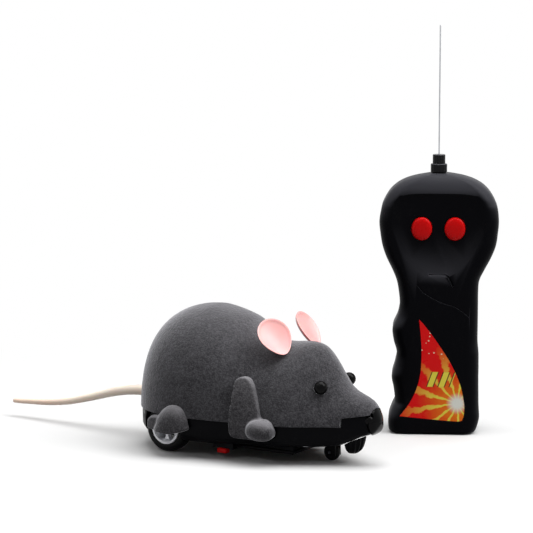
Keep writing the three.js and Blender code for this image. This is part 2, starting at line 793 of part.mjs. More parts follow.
// Body screws: tubes in the chassis, bosses hanging in the shell
const bodyScrewSpots = bodyScrewPlaces.map(([x, y]) => {
  const seat = bellyAt(x) + screwRecess;
  return { x, y, seat, web: seat + screwWeb };
});
const screwTubes = join(bodyScrewSpots.map(({ x, y, web }) => rod('z', screwTubeRadius, 0, web, x, y)))
  .intersect(bodyForm(chassisInset));
const screwBores = join(bodyScrewSpots.map(({ x, y, seat, web }) => (
  rod('z', screwHeadRadius + seatGap, 0, seat, x, y)
    .add(rod('z', screwRadius + seatGap, 0, web + overrun, x, y))
)));
const bosses = join(bodyScrewSpots.map(({ x, y, web }) => rod(
  'z', bossRadius, web + seatGap, backHeight, x, y,
)));
const bossBores = join(bodyScrewSpots.map(({ x, y, seat }) => (
  rod('z', screwRadius + seatGap, 0, seat + screwLength + seatGap * 2, x, y)
)));
bodyScrewSpots.forEach(({ x, y, seat }, i) => {
  const screw = rod('z', screwRadius, seat - seatGap * 2, seat + screwLength, x, y)
    .add(rod('z', screwHeadRadius, seat - seatGap - screwHeadHeight, seat - seatGap, x, y));
  piece(rat, `body_screw_${i + 1}`, screw, steel);
});

// Tail root and its hole
const tailStartX = bodyCentreX - bodyRadius + shellWall;
const tailHole = rod(
  'x', tailRootRadius + seatGap, tailStartX - overrun * 2, tailStartX + overrun, 0, tailRootHeight,
);

// Shell of the rat, flocked outside
const eyeBalls = [1, -1].map((side) => {
  const ball = new THREE.SphereGeometry(eyeRadius + seatGap, smallSides, smallSides / 2);
  ball.translate(eyeX, side * eyeSpread, eyeHeight);
  return solidOf(ball);
});
function noseBall(gap) {
  const ball = new THREE.SphereGeometry(noseBallRadius + gap, smallSides, spokeSides);
  ball.rotateX(Math.PI / 2);
  ball.translate(noseBallX, 0, noseBallHeight);
  return solidOf(ball);
}
const noseCut = noseBall(seatGap);
const cavity = bodyForm(shellWall, innerRing).subtract(bosses);
const shell = bodyOuter.subtract(cavity).subtract(underSeam(0)).subtract(noseCut)
  .subtract(wheelRoom(1)).subtract(wheelRoom(-1))
  .subtract(join(eyeBalls)).subtract(tailHole).subtract(bossBores);
piece(rat, 'upper_shell', shell, flock);

// Chassis tub with its bay, wells, pocket and screw tubes
const bayHalf = cellRadius * cellCount + seatGap * (cellCount + 1);
const bayLength = cellLength + cellNub + (contactThickness + seatGap * 2) * 2 + contactSpring;
const bayEnd = bayStart + bayLength;
const cellHeight = doorHeight + doorThickness + seatGap + cellRadius;
const bayTop = cellHeight + cellRadius + seatGap;
const bayBlock = box(
  bayStart - bayWall, bayEnd + bayWall, -bayHalf - bayWall, bayHalf + bayWall, bellyHeight,
  bayTop + bayWall,
);
const bayHollow = box(bayStart, bayEnd, -bayHalf, bayHalf, 0, bayTop);
const doorSeat = box(
  bayStart - doorLip - seatGap, bayEnd + doorLip + seatGap, -bayHalf - doorLip - seatGap,
  bayHalf + doorLip + seatGap,
  0, doorHeight + doorThickness + seatGap,
);
const pocketBlock = rod(
  'z', pocketRadius + pocketWall, bellyHeight, pocketHeight + pocketWall, casterX, 0, wheelSides,
);
const pocketHollow = rod('z', pocketRadius, 0, pocketHeight, casterX, 0, wheelSides)
  .add(rod('z', swivelPinRadius + runGap, 0, backHeight, casterX, 0));
const discTop = pocketHeight - runGap;
const discBottom = discTop - forkDisc;
const switchY = -switchSide;
const floorTop = bellyAt(switchX) + chassisWall;
const switchBase = floorTop + seatGap * 2;
const slotHalf = knobStem / 2 + runGap;
const switchSlot = box(
  switchX - slotHalf, switchX + slotHalf + knobTravel, switchY - slotHalf, switchY + slotHalf, 0,
  floorTop + overrun,
);
const chassisHollow = bodyForm(chassisInset + chassisWall, innerRing)
  .subtract(wheelWell(1, chassisWall)).subtract(wheelWell(-1, chassisWall))
  .subtract(box(muzzleSolidFrom, noseReach, -bodyRadius, bodyRadius, 0, backHeight));
const arches = wheelWell(1, chassisWall).add(wheelWell(-1, chassisWall))
  .intersect(bodyForm(shellWall + seatGap, innerRing))
  .intersect(box(-bodyRadius, bodyRadius, -bodyRadius, bodyRadius, tyreRadius, backHeight));
const wellRods = rod('y', axleRadius + runGap, -bodyRadius, bodyRadius, 0, tyreRadius);
const bodyUnder = bodyForm(chassisInset).intersect(underSeam(seatGap));
const switchPad = box(
  switchX - switchLength / 2, switchX + switchLength / 2 + knobTravel, switchY - switchDepth / 2,
  switchY + switchDepth / 2,
  switchPadHeight, floorTop,
);
const switchRoom = box(
  switchX - switchLength / 2 - seatGap, switchX + switchLength / 2 + knobTravel + seatGap,
  switchY - switchDepth / 2 - seatGap, switchY + switchDepth / 2 + seatGap,
  floorTop + seatGap, seamHeight + overrun,
);
const doorTop = doorHeight + doorThickness;
const doorScrewX = bayStart - doorLip - doorTab + doorTabWidth / 2;
const doorTube = rod('z', doorScrewTube, doorHeight, doorTop + doorScrewDepth, doorScrewX, -doorTabWidth);
const tabFrom = bayStart - doorLip - doorTab;
const tabSeat = box(
  tabFrom - seatGap, bayStart, -doorTabWidth * 1.5 - seatGap, -doorTabWidth / 2 + seatGap, 0,
  doorTop + seatGap,
);
const tabBlock = box(
  tabFrom - seatGap * 2 - bayWall, bayStart, -doorTabWidth * 1.5 - bayWall, -doorTabWidth / 2 + bayWall,
  bellyHeight, doorTop + bayWall,
);
const doorScrewBore = rod(
  'z', doorScrewRadius + seatGap, 0, doorTop + doorScrewDepth + overrun, doorScrewX, -doorTabWidth,
);
const gearWell = rod(
  'y', pitchOf(axleTeeth) + toothAddendum + runGap, driveStart - seatGap, driveEnd + seatGap, 0,
  tyreRadius, wheelSides,
);
const standoffShares = [[0.1, 0.38], [0.1, -0.38], [0.9, 0.38], [0.9, -0.38]];
const standoffs = join(standoffShares.map(([a, b]) => rod(
  'z', boardPost, bayTop, bayTop + bayWall + boardPost - seatGap, boardStart + a * boardLength,
  b * boardWidth,
)));
const stopPeg = rod('z', stopRadius, discBottom, pocketHeight + seatGap, casterX, stopReach);
const chassis = bodyUnder.subtract(chassisHollow)
  .add(bayBlock).add(pocketBlock.intersect(bodyUnder)).add(screwTubes).add(switchPad).add(standoffs)
  .add(doorTube).add(tabBlock).add(arches)
  .subtract(bayHollow).subtract(doorSeat).subtract(tabSeat).subtract(pocketHollow).subtract(screwBores)
  .subtract(wheelWell(1, 0)).subtract(wheelWell(-1, 0)).subtract(wellRods).subtract(gearWell)
  .subtract(noseCut).subtract(tailHole).subtract(switchRoom).subtract(switchSlot).subtract(doorScrewBore)
  .add(stopPeg);
piece(rat, 'chassis', chassis, blackPlastic);

// Battery door with its screwed tab
const door = box(
  bayStart - doorLip, bayEnd + doorLip, -bayHalf - doorLip, bayHalf + doorLip, doorHeight, doorTop,
).add(box(tabFrom, bayStart, -doorTabWidth * 1.5, -doorTabWidth / 2, doorHeight, doorTop))
  .subtract(rod('z', doorScrewRadius + seatGap, 0, doorTop + overrun, doorScrewX, -doorTabWidth));
piece(rat, 'battery_door', door, blackPlastic);
const doorScrewSeat = doorHeight - seatGap;
const doorScrew = rod(
  'z', doorScrewRadius, doorScrewSeat - seatGap, doorScrewSeat + doorScrewLength, doorScrewX,
  -doorTabWidth,
)
  .add(rod(
    'z', doorScrewHead, doorScrewSeat - doorScrewHeadHeight, doorScrewSeat, doorScrewX, -doorTabWidth,
  ));
piece(rat, 'door_screw', doorScrew, steel);

// Cells, alternately turned, and the contact strips at both ends
const cellStart = bayStart + contactThickness + seatGap * 2 + contactSpring;
for (let i = 0; i < cellCount; i += 1) {
  const y = (i - (cellCount - 1) / 2) * (cellRadius * 2 + seatGap);
  const forward = i % 2 === 0;
  const bodyFrom = forward ? cellStart : cellStart + cellNub;
  const nubFrom = forward ? bodyFrom + cellLength - seatGap : cellStart;
  const nubTo = forward ? bodyFrom + cellLength + cellNub : bodyFrom + seatGap;
  const cell = rod('x', cellRadius, bodyFrom, bodyFrom + cellLength, y, cellHeight, smallSides)
    .add(rod('x', cellNubRadius, nubFrom, nubTo, y, cellHeight));
  piece(rat, `rat_cell_${i + 1}`, cell, cellSleeve);
}
const contactHalf = bayHalf - seatGap;
const contactLow = cellHeight - cellRadius / 2;
const contactHigh = cellHeight + cellRadius / 2;
const rearStrip = box(
  bayStart + seatGap, bayStart + seatGap + contactThickness, -contactHalf, contactHalf, contactLow,
  contactHigh,
);
const springEnd = bayStart + seatGap + contactThickness + contactSpring;
const rearSprings = [-1, 0, 1].map((i) => rod(
  'x', cellNubRadius, bayStart + seatGap, springEnd, i * (cellRadius * 2 + seatGap), cellHeight,
));
piece(rat, 'rear_contacts', rearStrip.add(join(rearSprings)), steel);
const frontStrip = box(
  bayEnd - seatGap - contactThickness, bayEnd - seatGap, -contactHalf, contactHalf, contactLow, contactHigh,
);
piece(rat, 'front_contacts', frontStrip, steel);

// Receiver board on four posts over the bay
const boardBase = bayTop + bayWall + boardPost;
const receiver = box(
  boardStart, boardStart + boardLength, -boardWidth / 2, boardWidth / 2, boardBase,
  boardBase + boardThickness,
)
  .add(rod(
    'z', canRadius, boardBase, boardBase + boardThickness + canHeight, boardStart + canRadius * 2,
    canRadius * 2,
  ))
  .add(box(
    boardStart + chipLength, boardStart + chipLength * 2, -chipWidth / 2, chipWidth / 2,
    boardBase, boardBase + boardThickness + chipHeight,
  ))
  .add(box(
    boardStart + boardLength - coilSize * 2, boardStart + boardLength - coilSize, -coilSize, 0,
    boardBase, boardBase + boardThickness + coilSize,
  ));
piece(rat, 'receiver_board', receiver, boardGreen);

// Power switch over its slot, and the red knob under the floor
const switchBody = box(
  switchX - switchLength / 2, switchX + switchLength / 2 + knobTravel, switchY - switchDepth / 2,
  switchY + switchDepth / 2,
  switchBase, switchBase + switchHeight,
).subtract(box(
  switchX - slotHalf, switchX + slotHalf + knobTravel, switchY - slotHalf, switchY + slotHalf,
  0, switchBase + switchHeight / 2,
));
piece(rat, 'power_switch', switchBody, steel);
const knobTop = bellyHeight - seatGap;
const knob = box(
  switchX - knobLength / 2, switchX + knobLength / 2, switchY - knobDepth / 2, switchY + knobDepth / 2,
  knobFloorGap, knobTop,
).add(box(
  switchX - knobStem / 2, switchX + knobStem / 2, switchY - knobStem / 2, switchY + knobStem / 2,
  knobTop - seatGap, switchBase + switchHeight / 2 - seatGap,
));
piece(rat, 'switch_knob', knob, redPlastic);

// Castor: fork with its swivel pin, wheel and wheel pin
const wheelX = casterX - casterTrail;
const cheekInner = casterWheelWidth / 2 + runGap;
const cheekOuter = cheekInner + forkCheek;
const cheekEnd = casterWheelRadius - casterPinRadius * 2;
const cheeks = box(
  wheelX - casterPinRadius * 2, wheelX + casterPinRadius * 2 + casterTrail, -cheekOuter, cheekOuter,
  cheekEnd, discBottom + forkDisc / 2,
).subtract(box(
  wheelX - casterWheelRadius * 2, casterX + casterWheelRadius * 2, -cheekInner, cheekInner, 0, discBottom,
));
const pinTop = pocketHeight + pocketWall + runGap;
// The disc's notch lets the peg pass from one end of the swivel to the other
const notchRoom = Math.asin((stopRadius + runGap) / stopReach);
const notchShape = new THREE.Shape();
notchShape.moveTo(0, 0);
const notchStart = Math.PI / 2 - casterTurn - notchRoom;
for (const [reach, share] of stopShares) {
  const turn = notchStart + share * (casterTurn + notchRoom * 2);
  const far = forkDiscRadius * 2 * reach;
  notchShape.lineTo(far * Math.cos(turn), far * Math.sin(turn));
}
const notchGeometry = raised(notchShape, forkDisc + seatGap * 2);
notchGeometry.translate(casterX, 0, discBottom - seatGap);
const stopNotch = solidOf(notchGeometry)
  .subtract(rod('z', stopReach - stopRadius - runGap, 0, backHeight, casterX, 0, wheelSides));
const fork = rod('z', forkDiscRadius, discBottom, discTop, casterX, 0, wheelSides).add(cheeks)
  .add(rod('z', swivelPinRadius, discBottom, pinTop + swivelHead, casterX, 0))
  .add(rod('z', swivelHeadRadius, pinTop, pinTop + swivelHead, casterX, 0))
  .subtract(rod(
    'y', casterPinRadius + seatGap, -cheekOuter - overrun, cheekOuter + overrun, wheelX,
    casterWheelRadius,
  ))
  .subtract(stopNotch);
piece(rat, 'castor_fork', fork, blackPlastic);
const halfTread = casterWheelWidth / 2;
const casterBore = casterPinRadius + seatGap;
const casterWheel = turned([
  [casterBore, -halfTread], [casterWheelRadius - halfTread / 2, -halfTread],
  [casterWheelRadius, -halfTread / 2],
  [casterWheelRadius, halfTread / 2], [casterWheelRadius - halfTread / 2, halfTread],
  [casterBore, halfTread],
  [casterBore, -halfTread],
], wheelX, casterWheelRadius);
piece(rat, 'castor_wheel', casterWheel, tyreRubber);
piece(
  rat, 'castor_pin', rod('y', casterPinRadius, -cheekOuter, cheekOuter, wheelX, casterWheelRadius),
  steel,
);

// Nose cap with two nostrils
const nostrils = join([1, -1].map((side) => {
  const dent = new THREE.SphereGeometry(nostrilRadius, spokeSides, spokeSides / 2);
  dent.translate(noseReach - nostrilRadius * 1.6, side * nostrilSpread, noseTipHeight + nostrilRise);
  return solidOf(dent);
}));
const noseCap = bodyOuter.intersect(noseBall(0));
piece(rat, 'nose', noseCap.subtract(nostrils), glossBlack);

// Fluted jaw
const jawRings = jawProfileShares.map(([high, reach]) => {
  const ring = [];
  const around = jawFlutes * 2;
  for (let k = 0; k < around; k += 1) {
    const turn = (k / around) * Math.PI * 2;
    const r = jawReach * reach * (1 + fluteShare * Math.cos(turn * jawFlutes));
    const z = jawBottom + high * (jawTop - jawBottom);
    ring.push(new THREE.Vector3(jawX + r * Math.cos(turn), r * Math.sin(turn), z));
  }
  return ring;
});
const jawCone = loft(new THREE.Vector3(jawX, 0, jawBottom), jawRings, new THREE.Vector3(jawX, 0, jawTop));
const jawBack = casterX + pocketRadius + pocketWall + seatGap;
const jaw = jawCone.subtract(bodyForm(chassisInset - seatGap))
  .intersect(box(jawBack, noseReach, -jawReach * 2, jawReach * 2, 0, jawTop));
piece(rat, 'jaw', jaw, blackPlastic);

// Ears, dished discs on a narrow foot
for (const [name, side] of [['left', 1], ['right', -1]]) {
  const around = smallSides + spokeSides;
  const rings = [];
  const disc = (share, back) => {
    const ring = [];
    for (let k = 0; k < around; k += 1) {
      const turn = (k / around) * Math.PI * 2;
      const up = 0.5 + 0.5 * Math.sin(turn) * share;
      const narrow = 1 - 0.35 * (1 - up) ** 2;
      const y = (earWidth / 2) * share * Math.cos(turn) * narrow;
      const z = earLength * up;
      const dish = earDish * (1 - share ** 2);
      ring.push(new THREE.Vector3(-dish - back, y, z));
    }
    return ring;
  };
  rings.push(disc(0.5, earThickness), disc(0.85, earThickness), disc(1, earThickness * 0.7));
  rings.push(disc(1, 0), disc(0.85, 0), disc(0.5, 0));
  const middle = earLength / 2;
  const ear = loft(
    new THREE.Vector3(-earDish - earThickness, 0, middle), rings, new THREE.Vector3(-earDish, 0, middle),
  );
  const placed = geometryOf(ear);
  placed.rotateX(-side * earSplay);
  placed.rotateY(-earLean);
  placed.rotateZ(side > 0 ? earTurnLeft : -earTurnRight);
  placed.translate(side > 0 ? earFootLeftX : earFootRightX, side * earFootSpread, earFootHeight);
  piece(rat, `ear_${name}`, solidOf(placed).subtract(bodyKeep), pinkVinyl);

  const ball = new THREE.SphereGeometry(eyeRadius, smallSides, smallSides / 2);
  ball.translate(eyeX, side * eyeSpread, eyeHeight);
  piece(rat, `eye_${name}`, solidOf(ball), glossBlack);
}

// Front legs and hind feet, glued to the shell
function ellipsoid(x, y, z, rx, ry, rz, sides = smallSides) {
  const ball = new THREE.SphereGeometry(1, sides, sides / 2);
  ball.scale(rx, ry, rz);
  ball.translate(x, y, z);
  return solidOf(ball);
}

// A cushioned slab on one side of the body that stands a little proud of it
function onBody(side, shares, left, width, bottom, height, inner, outer, round, proud) {
  const from = side > 0 ? inner : -outer;
  const to = side > 0 ? outer : -inner;
  return cushion(shares, left, width, bottom, height, from, to, round).intersect(bodyForm(-proud));
}

for (const [name, side] of [['left', 1], ['right', -1]]) {
  const slab = onBody(
    side, legShares, legLeft, legWidth, legBottom, legHeight, legInner, legOuter, legRound, legProud,
  );
  const paw = ellipsoid(pawX, side * pawMiddle, pawHeight, pawLong, pawWide, pawHigh)
    .intersect(box(0, noseReach, -bodyRadius * 2, bodyRadius * 2, legBottom, backHeight));
  piece(rat, `front_leg_${name}`, slab.add(paw).subtract(bodyKeep), flock);

  const dome = onBody(
    side, footShares, footLeft, footWidth, footBottom, footHeight, footInner, footOuter, footRound,
    footProud,
  );
  const lobe = onBody(
    side, lobeShares, lobeLeft, lobeWidth, lobeBottom, lobeHeight, footInner, lobeOuter, footRound / 2,
    lobeProud,
  );
  piece(rat, `hind_foot_${name}`, dome.add(lobe).subtract(bodyKeep).subtract(wheelRoom(side)), flock);
}

// Tail: a tapered rod that droops behind, with a shoulder inside the shell
function tailPoint([share, drop]) {
  return new THREE.Vector3(
    tailStartX - share * tailLength,
    0,
    tailRootHeight - (tailRootHeight - tailTipHeight) * drop,
  );
}
const tailRings = tailDropShares.map((place) => {
  const centre = tailPoint(place);
  const radius = tailRootRadius + (tailTipRadius - tailRootRadius) * place[0];
  const ring = [];
  for (let k = 0; k < tailRing; k += 1) {
    const turn = (k / tailRing) * Math.PI * 2;
    ring.push(new THREE.Vector3(
      centre.x, centre.y - radius * Math.cos(turn), centre.z + radius * Math.sin(turn),
    ));
  }
  return ring;
});
const tailTip = tailPoint([1, 1]);
tailTip.x -= tailTipRadius;
const tailBody = loft(tailPoint([0, 0]), tailRings, tailTip);
const tailCollar = rod(
  'x', tailRootRadius + tailShoulder, tailStartX + tailShoulderStand,
  tailStartX + tailShoulderStand + tailShoulderLength, 0, tailRootHeight,
).add(rod(
  'x', tailRootRadius, tailStartX - seatGap, tailStartX + tailShoulderLength, 0, tailRootHeight,
  tailRing,
));
piece(rat, 'tail', tailBody.add(tailCollar), tailVinyl);

// Handset
const handset = new THREE.Group();
handset.position.set(handsetX, handsetY, 0);
handset.rotation.z = handsetTurn;

// The handset's outer form, or the same drawn in all round
function handsetForm(inset, cornerSteps = handsetCornerSteps) {
  const tall = handsetHeight - inset * 2;
  const rings = handsetRowShares.map(([high, leftShare, rightShare]) => {
    const z = inset + high * tall;
    const under = Math.max(0, (z - inset - (tall - handsetCrown)) / handsetCrown);
    const low = Math.max(0, 1 - (z - inset) / handsetFootRound);
    const draw = inset + handsetCrownDraw * (1 - Math.sqrt(1 - under ** 2)) + handsetFootRound * low ** 2;
    const left = leftShare * handsetHalfWidth + inset;
    const right = rightShare * handsetHalfWidth - inset;
    const across = Math.min(handsetEdge - inset / 2, (right - left) / 3);
    const deep = Math.min(handsetEdgeDepth - inset / 2, handsetDepth / 2 - draw - inset / 2);
    const back = handsetDepth - draw;
    const corners = [
      [right - across, back - deep], [left + across, back - deep],
      [left + across, draw + deep], [right - across, draw + deep],
    ];
    const ring = [];
    corners.forEach(([x, y], corner) => {
      for (let i = 0; i <= cornerSteps; i += 1) {
        const turn = (corner + i / cornerSteps) * (Math.PI / 2);
        ring.push(new THREE.Vector3(x + across * Math.cos(turn), y + deep * Math.sin(turn), z));
      }
    });
    return ring;
  });
  const middle = handsetDepth / 2;
  return loft(new THREE.Vector3(0, middle, inset), rings, new THREE.Vector3(0, middle, inset + tall));
}

// A plate of an outline drawn on the front, between two depths
function frontPlate(shares, left, width, bottom, height, from, to) {
  const geometry = raised(outline(shares, left, width, bottom, height), to - from, 2);
  geometry.rotateX(Math.PI / 2);
  geometry.translate(0, to, 0);
  return solidOf(geometry);
}

function atEach(places, make) {
  return join(places.map(([a, b]) => make(a, b)));
}

const handsetOuter = handsetForm(0);
const handsetInner = handsetForm(handsetWall, handsetInnerSteps);
const wide = handsetHalfWidth * 2;
const frontSide = box(-wide, wide, -overrun, seamDepth - seatGap / 2, -overrun, antennaTop);
const backSide = box(-wide, wide, seamDepth + seatGap / 2, handsetDepth + overrun, -overrun, antennaTop);
const panelCut = frontPlate(
  panelShares, 0, panelHalfWidth, panelTop - panelHeight, panelHeight, -overrun, panelSink,
);
const panelBack = panelSink + handsetWall;
const panelWall = frontPlate(
  panelShares, 0, panelHalfWidth + handsetWall, panelTop - panelHeight - handsetWall,
  panelHeight + handsetWall * 2,
  panelSink, panelBack,
);

function buttonRod(x, radius, from, to) {
  const geometry = new THREE.CylinderGeometry(radius, radius, to - from, buttonSides);
  geometry.scale(1, 1, buttonStretchShare);
  geometry.translate(x, (from + to) / 2, buttonHeight);
  return solidOf(geometry);
}

const labelCut = frontPlate(
  labelShares, labelLeft, labelWidth, labelBottom, labelHeight, -overrun, labelSink,
);
const collarBase = handsetHeight + seatGap;
const neckEnd = handsetHeight - handsetWall - collarFlange * 0.8;
const collarHole = rod(
  'z', collarNeckRadius + seatGap, neckEnd - overrun, collarBase + overrun, 0, seamDepth,
);
const frontBosses = atEach(shellScrewPlaces, (x, z) => rod(
  'y', shellBossRadius, handsetWall / 2, seamDepth - seatGap, x, z,
));
const frontBores = atEach(shellScrewPlaces, (x, z) => rod(
  'y', shellScrewRadius + seatGap, shellScrewSeat - shellScrewLength - seatGap * 2, handsetDepth, x, z,
));
const postShares = [[-0.76, 0.12], [0.76, 0.12], [-0.76, 0.92], [0.76, 0.92]];
const boardPosts = join(postShares.map(([a, b]) => rod(
  'y', postRadius, handsetWall / 2, transmitterDepth - seatGap,
  a * transmitterHalfWidth, transmitterBottom + b * transmitterHeight,
)));
const buttonBores = join([1, -1].map((side) => buttonRod(
  side * buttonSpread, buttonRadius + runGap, -overrun, panelBack + overrun / 3,
)));
const frontShell = handsetOuter.subtract(handsetInner).add(panelWall.intersect(handsetOuter))
  .add(frontBosses.intersect(handsetOuter)).add(boardPosts.intersect(handsetOuter))
  .intersect(frontSide).subtract(panelCut).subtract(buttonBores)
  .subtract(labelCut).subtract(collarHole).subtract(frontBores);
piece(handset, 'handset_front', frontShell, satinBlack);

const wellHalf = aaRadius * 2 + seatGap * 1.5;
const wellHeight = aaLength + aaNub + contactSpring + (contactThickness + seatGap * 2) * 2;
const wellTop = wellBottom + wellHeight;
const coverInner = handsetDepth - coverDepth;
const coverTop = wellTop + wellWall * 2;
const wellBlock = box(
  aaShift - wellHalf - wellWall, aaShift + wellHalf + wellWall, seamDepth + seatGap, handsetDepth,
  wellBottom - wellWall, wellTop + wellWall,
);
const coverCut = box(
  -wide, wide, coverInner - seatGap, handsetDepth + overrun, coverBottom - seatGap * 2,
  coverTop + seatGap,
);
const wellHollow = box(
  aaShift - wellHalf, aaShift + wellHalf, 0, handsetDepth + overrun, wellBottom, wellTop,
);
const tubes = atEach(shellScrewPlaces, (x, z) => rod(
  'y', shellScrewTube, seamDepth + seatGap / 2, handsetDepth, x, z,
));
const tubeBores = atEach(shellScrewPlaces, (x, z) => rod(
  'y', shellScrewHead + seatGap, shellScrewSeat, handsetDepth + overrun, x, z,
)
  .add(rod('y', shellScrewRadius + seatGap, 0, handsetDepth, x, z)));
const backShell = handsetOuter.subtract(handsetInner)
  .add(wellBlock.intersect(handsetForm(handsetWall / 2))).add(tubes.intersect(handsetForm(handsetWall / 2)))
  .intersect(backSide).subtract(wellHollow).subtract(coverCut).subtract(tubeBores).subtract(collarHole);
piece(handset, 'handset_back', backShell, satinBlack);

const cover = handsetOuter.intersect(box(
  -wide, wide, coverInner, handsetDepth + overrun, coverBottom, coverTop,
));
piece(handset, 'handset_battery_cover', cover, satinBlack);

// Buttons, their switches and the transmitter board
const switchNames = [['right', 1], ['left', -1]];
const flangeFront = panelBack + seatGap;
const flangeBack = flangeFront + buttonFlangeDepth;
const tactFront = transmitterDepth - seatGap - tactDepth;
for (const [name, side] of switchNames) {
  const x = side * buttonSpread;
  const dome = new THREE.LatheGeometry([
    [0, panelSink - buttonProud * 1.05], [buttonRadius * 0.5, panelSink - buttonProud],
    [buttonRadius * 0.86, panelSink - buttonProud * 0.85], [buttonRadius, panelSink - buttonProud / 2],
    [buttonRadius, flangeFront], [buttonRadius + buttonFlange, flangeFront],
    [buttonRadius + buttonFlange, flangeBack], [0, flangeBack],
  ].map(([r, y]) => new THREE.Vector2(r, y)), buttonSides);
  dome.scale(1, 1, buttonStretchShare);
  dome.translate(x, 0, buttonHeight);
  const stem = rod(
    'y', buttonStemRadius, flangeBack - seatGap, tactFront - tactPlunger - buttonTravel - seatGap, x,
    buttonHeight,
  );
  piece(handset, `button_${name}`, solidOf(dome).add(stem), redPlastic);
  const tact = box(
    x - tactSize / 2, x + tactSize / 2, tactFront, tactFront + tactDepth, buttonHeight - tactSize / 2,
    buttonHeight + tactSize / 2,
  ).add(rod('y', tactPlungerRadius, tactFront - tactPlunger, tactFront + tactDepth / 2, x, buttonHeight));
  piece(handset, `button_switch_${name}`, tact, steel);
}
const transmitterTop = transmitterBottom + transmitterHeight;
const boardBack = transmitterDepth + boardThickness;
const transmitter = box(
  -transmitterHalfWidth, transmitterHalfWidth, transmitterDepth, boardBack, transmitterBottom,
  transmitterTop,
)
  .add(rod(
    'y', canRadius, transmitterDepth, boardBack + canHeight, -transmitterHalfWidth / 2,
    transmitterBottom + canRadius * 2,
  ))
  .add(box(
    0, chipLength, transmitterDepth, boardBack + chipHeight,
    transmitterBottom + chipWidth, transmitterBottom + chipWidth * 2,
  ));
piece(handset, 'transmitter_board', transmitter, boardGreen);

// Cells side by side, turned opposite ways
const aaDepth = coverInner - seatGap - aaRadius - seatGap / 2;
const aaStart = wellBottom + contactThickness + seatGap * 2 + contactSpring;
for (let i = 0; i < 2; i += 1) {
  const x = aaShift + (i - 0.5) * (aaRadius * 2 + seatGap);
  const up = i === 0;
  const from = up ? aaStart : aaStart + aaNub;
  const nubFrom = up ? from + aaLength - seatGap : aaStart;
  const nubTo = up ? from + aaLength + aaNub : from + seatGap;
  const cell = rod('z', aaRadius, from, from + aaLength, x, aaDepth)
    .add(rod('z', aaNubRadius, nubFrom, nubTo, x, aaDepth));
  piece(handset, `handset_cell_${i + 1}`, cell, cellSleeve);
}
const stripHalf = wellHalf - seatGap;
const stripFront = aaDepth - aaRadius / 2;
const stripBack = aaDepth + aaRadius / 2;
const lowStrip = box(
  aaShift - stripHalf, aaShift + stripHalf, stripFront, stripBack, wellBottom + seatGap,
  wellBottom + seatGap + contactThickness,
);
const lowSprings = join([-0.5, 0.5].map((i) => rod(
  'z', aaNubRadius, wellBottom + seatGap, wellBottom + seatGap + contactThickness + contactSpring,
  aaShift + i * (aaRadius * 2 + seatGap), aaDepth,
)));
piece(handset, 'handset_lower_contacts', lowStrip.add(lowSprings), steel);
const highStrip = box(
  aaShift - stripHalf, aaShift + stripHalf, stripFront, stripBack,
  wellTop - seatGap - contactThickness, wellTop - seatGap,
);
piece(handset, 'handset_upper_contacts', highStrip, steel);

shellScrewPlaces.forEach(([x, z], i) => {
  const head = shellScrewSeat + seatGap;
  const screw = rod('y', shellScrewRadius, head - shellScrewLength, head + seatGap, x, z)
    .add(rod('y', shellScrewHead, head, head + shellScrewHeadHeight, x, z));
  piece(handset, `handset_screw_${i + 1}`, screw, steel);
});

const labelEdge = seatGap;
const label = frontPlate(
  labelShares, labelLeft + labelEdge, labelWidth - labelEdge * 2, labelBottom + labelEdge,
  labelHeight - labelEdge * 2,
  labelSink - seatGap - labelThickness, labelSink - seatGap,
);
piece(handset, 'label', label, labelPaper);

// Antenna collar, ribbed and stepped, and its wire
function ribbed(radius, from, to) {
  const around = collarRibs * 2;
  const ringAt = (z) => {
    const ring = [];
    for (let k = 0; k < around; k += 1) {
      const turn = (k / around) * Math.PI * 2;
      const r = radius * (1 - collarRibShare * (k % 2));
      ring.push(new THREE.Vector3(r * Math.cos(turn), seamDepth + r * Math.sin(turn), z));
    }
    return ring;
  };
  return loft(
    new THREE.Vector3(0, seamDepth, from), [ringAt(from), ringAt(to)],
    new THREE.Vector3(0, seamDepth, to),
  );
}
const collarMiddle = collarBase + collarLower;
const collarTop = collarMiddle + collarUpper;
const antennaFoot = collarTop - antennaSeat;
const collar = ribbed(collarLowerRadius, collarBase, collarMiddle)
  .add(ribbed(collarUpperRadius, collarMiddle - seatGap, collarTop))
  .add(rod('z', collarNeckRadius, neckEnd, collarBase + seatGap, 0, seamDepth))
  .add(rod('z', collarFlangeRadius, neckEnd - collarFlange, neckEnd, 0, seamDepth))
  .subtract(rod(
    'z', antennaRadius + seatGap, antennaFoot - seatGap, collarTop + overrun, 0, seamDepth, spokeSides,
  ));
piece(handset, 'antenna_collar', collar, satinBlack);
piece(handset, 'antenna', rod('z', antennaRadius, antennaFoot, antennaTop, 0, seamDepth, spokeSides), steel);

// The set stands with the middle of its footprint at the origin
const toy = new THREE.Group();
toy.add(rat, handset);
toy.updateMatrixWorld(true);
const extent = new THREE.Box3().setFromObject(toy, true);
toy.position.set(-(extent.min.x + extent.max.x) / 2, -(extent.min.y + extent.max.y) / 2, -extent.min.z);

export default toy;
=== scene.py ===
import json
import math

import bmesh
import bpy
from bpy.props import FloatProperty, FloatVectorProperty, PointerProperty
from mathutils import Matrix, Vector


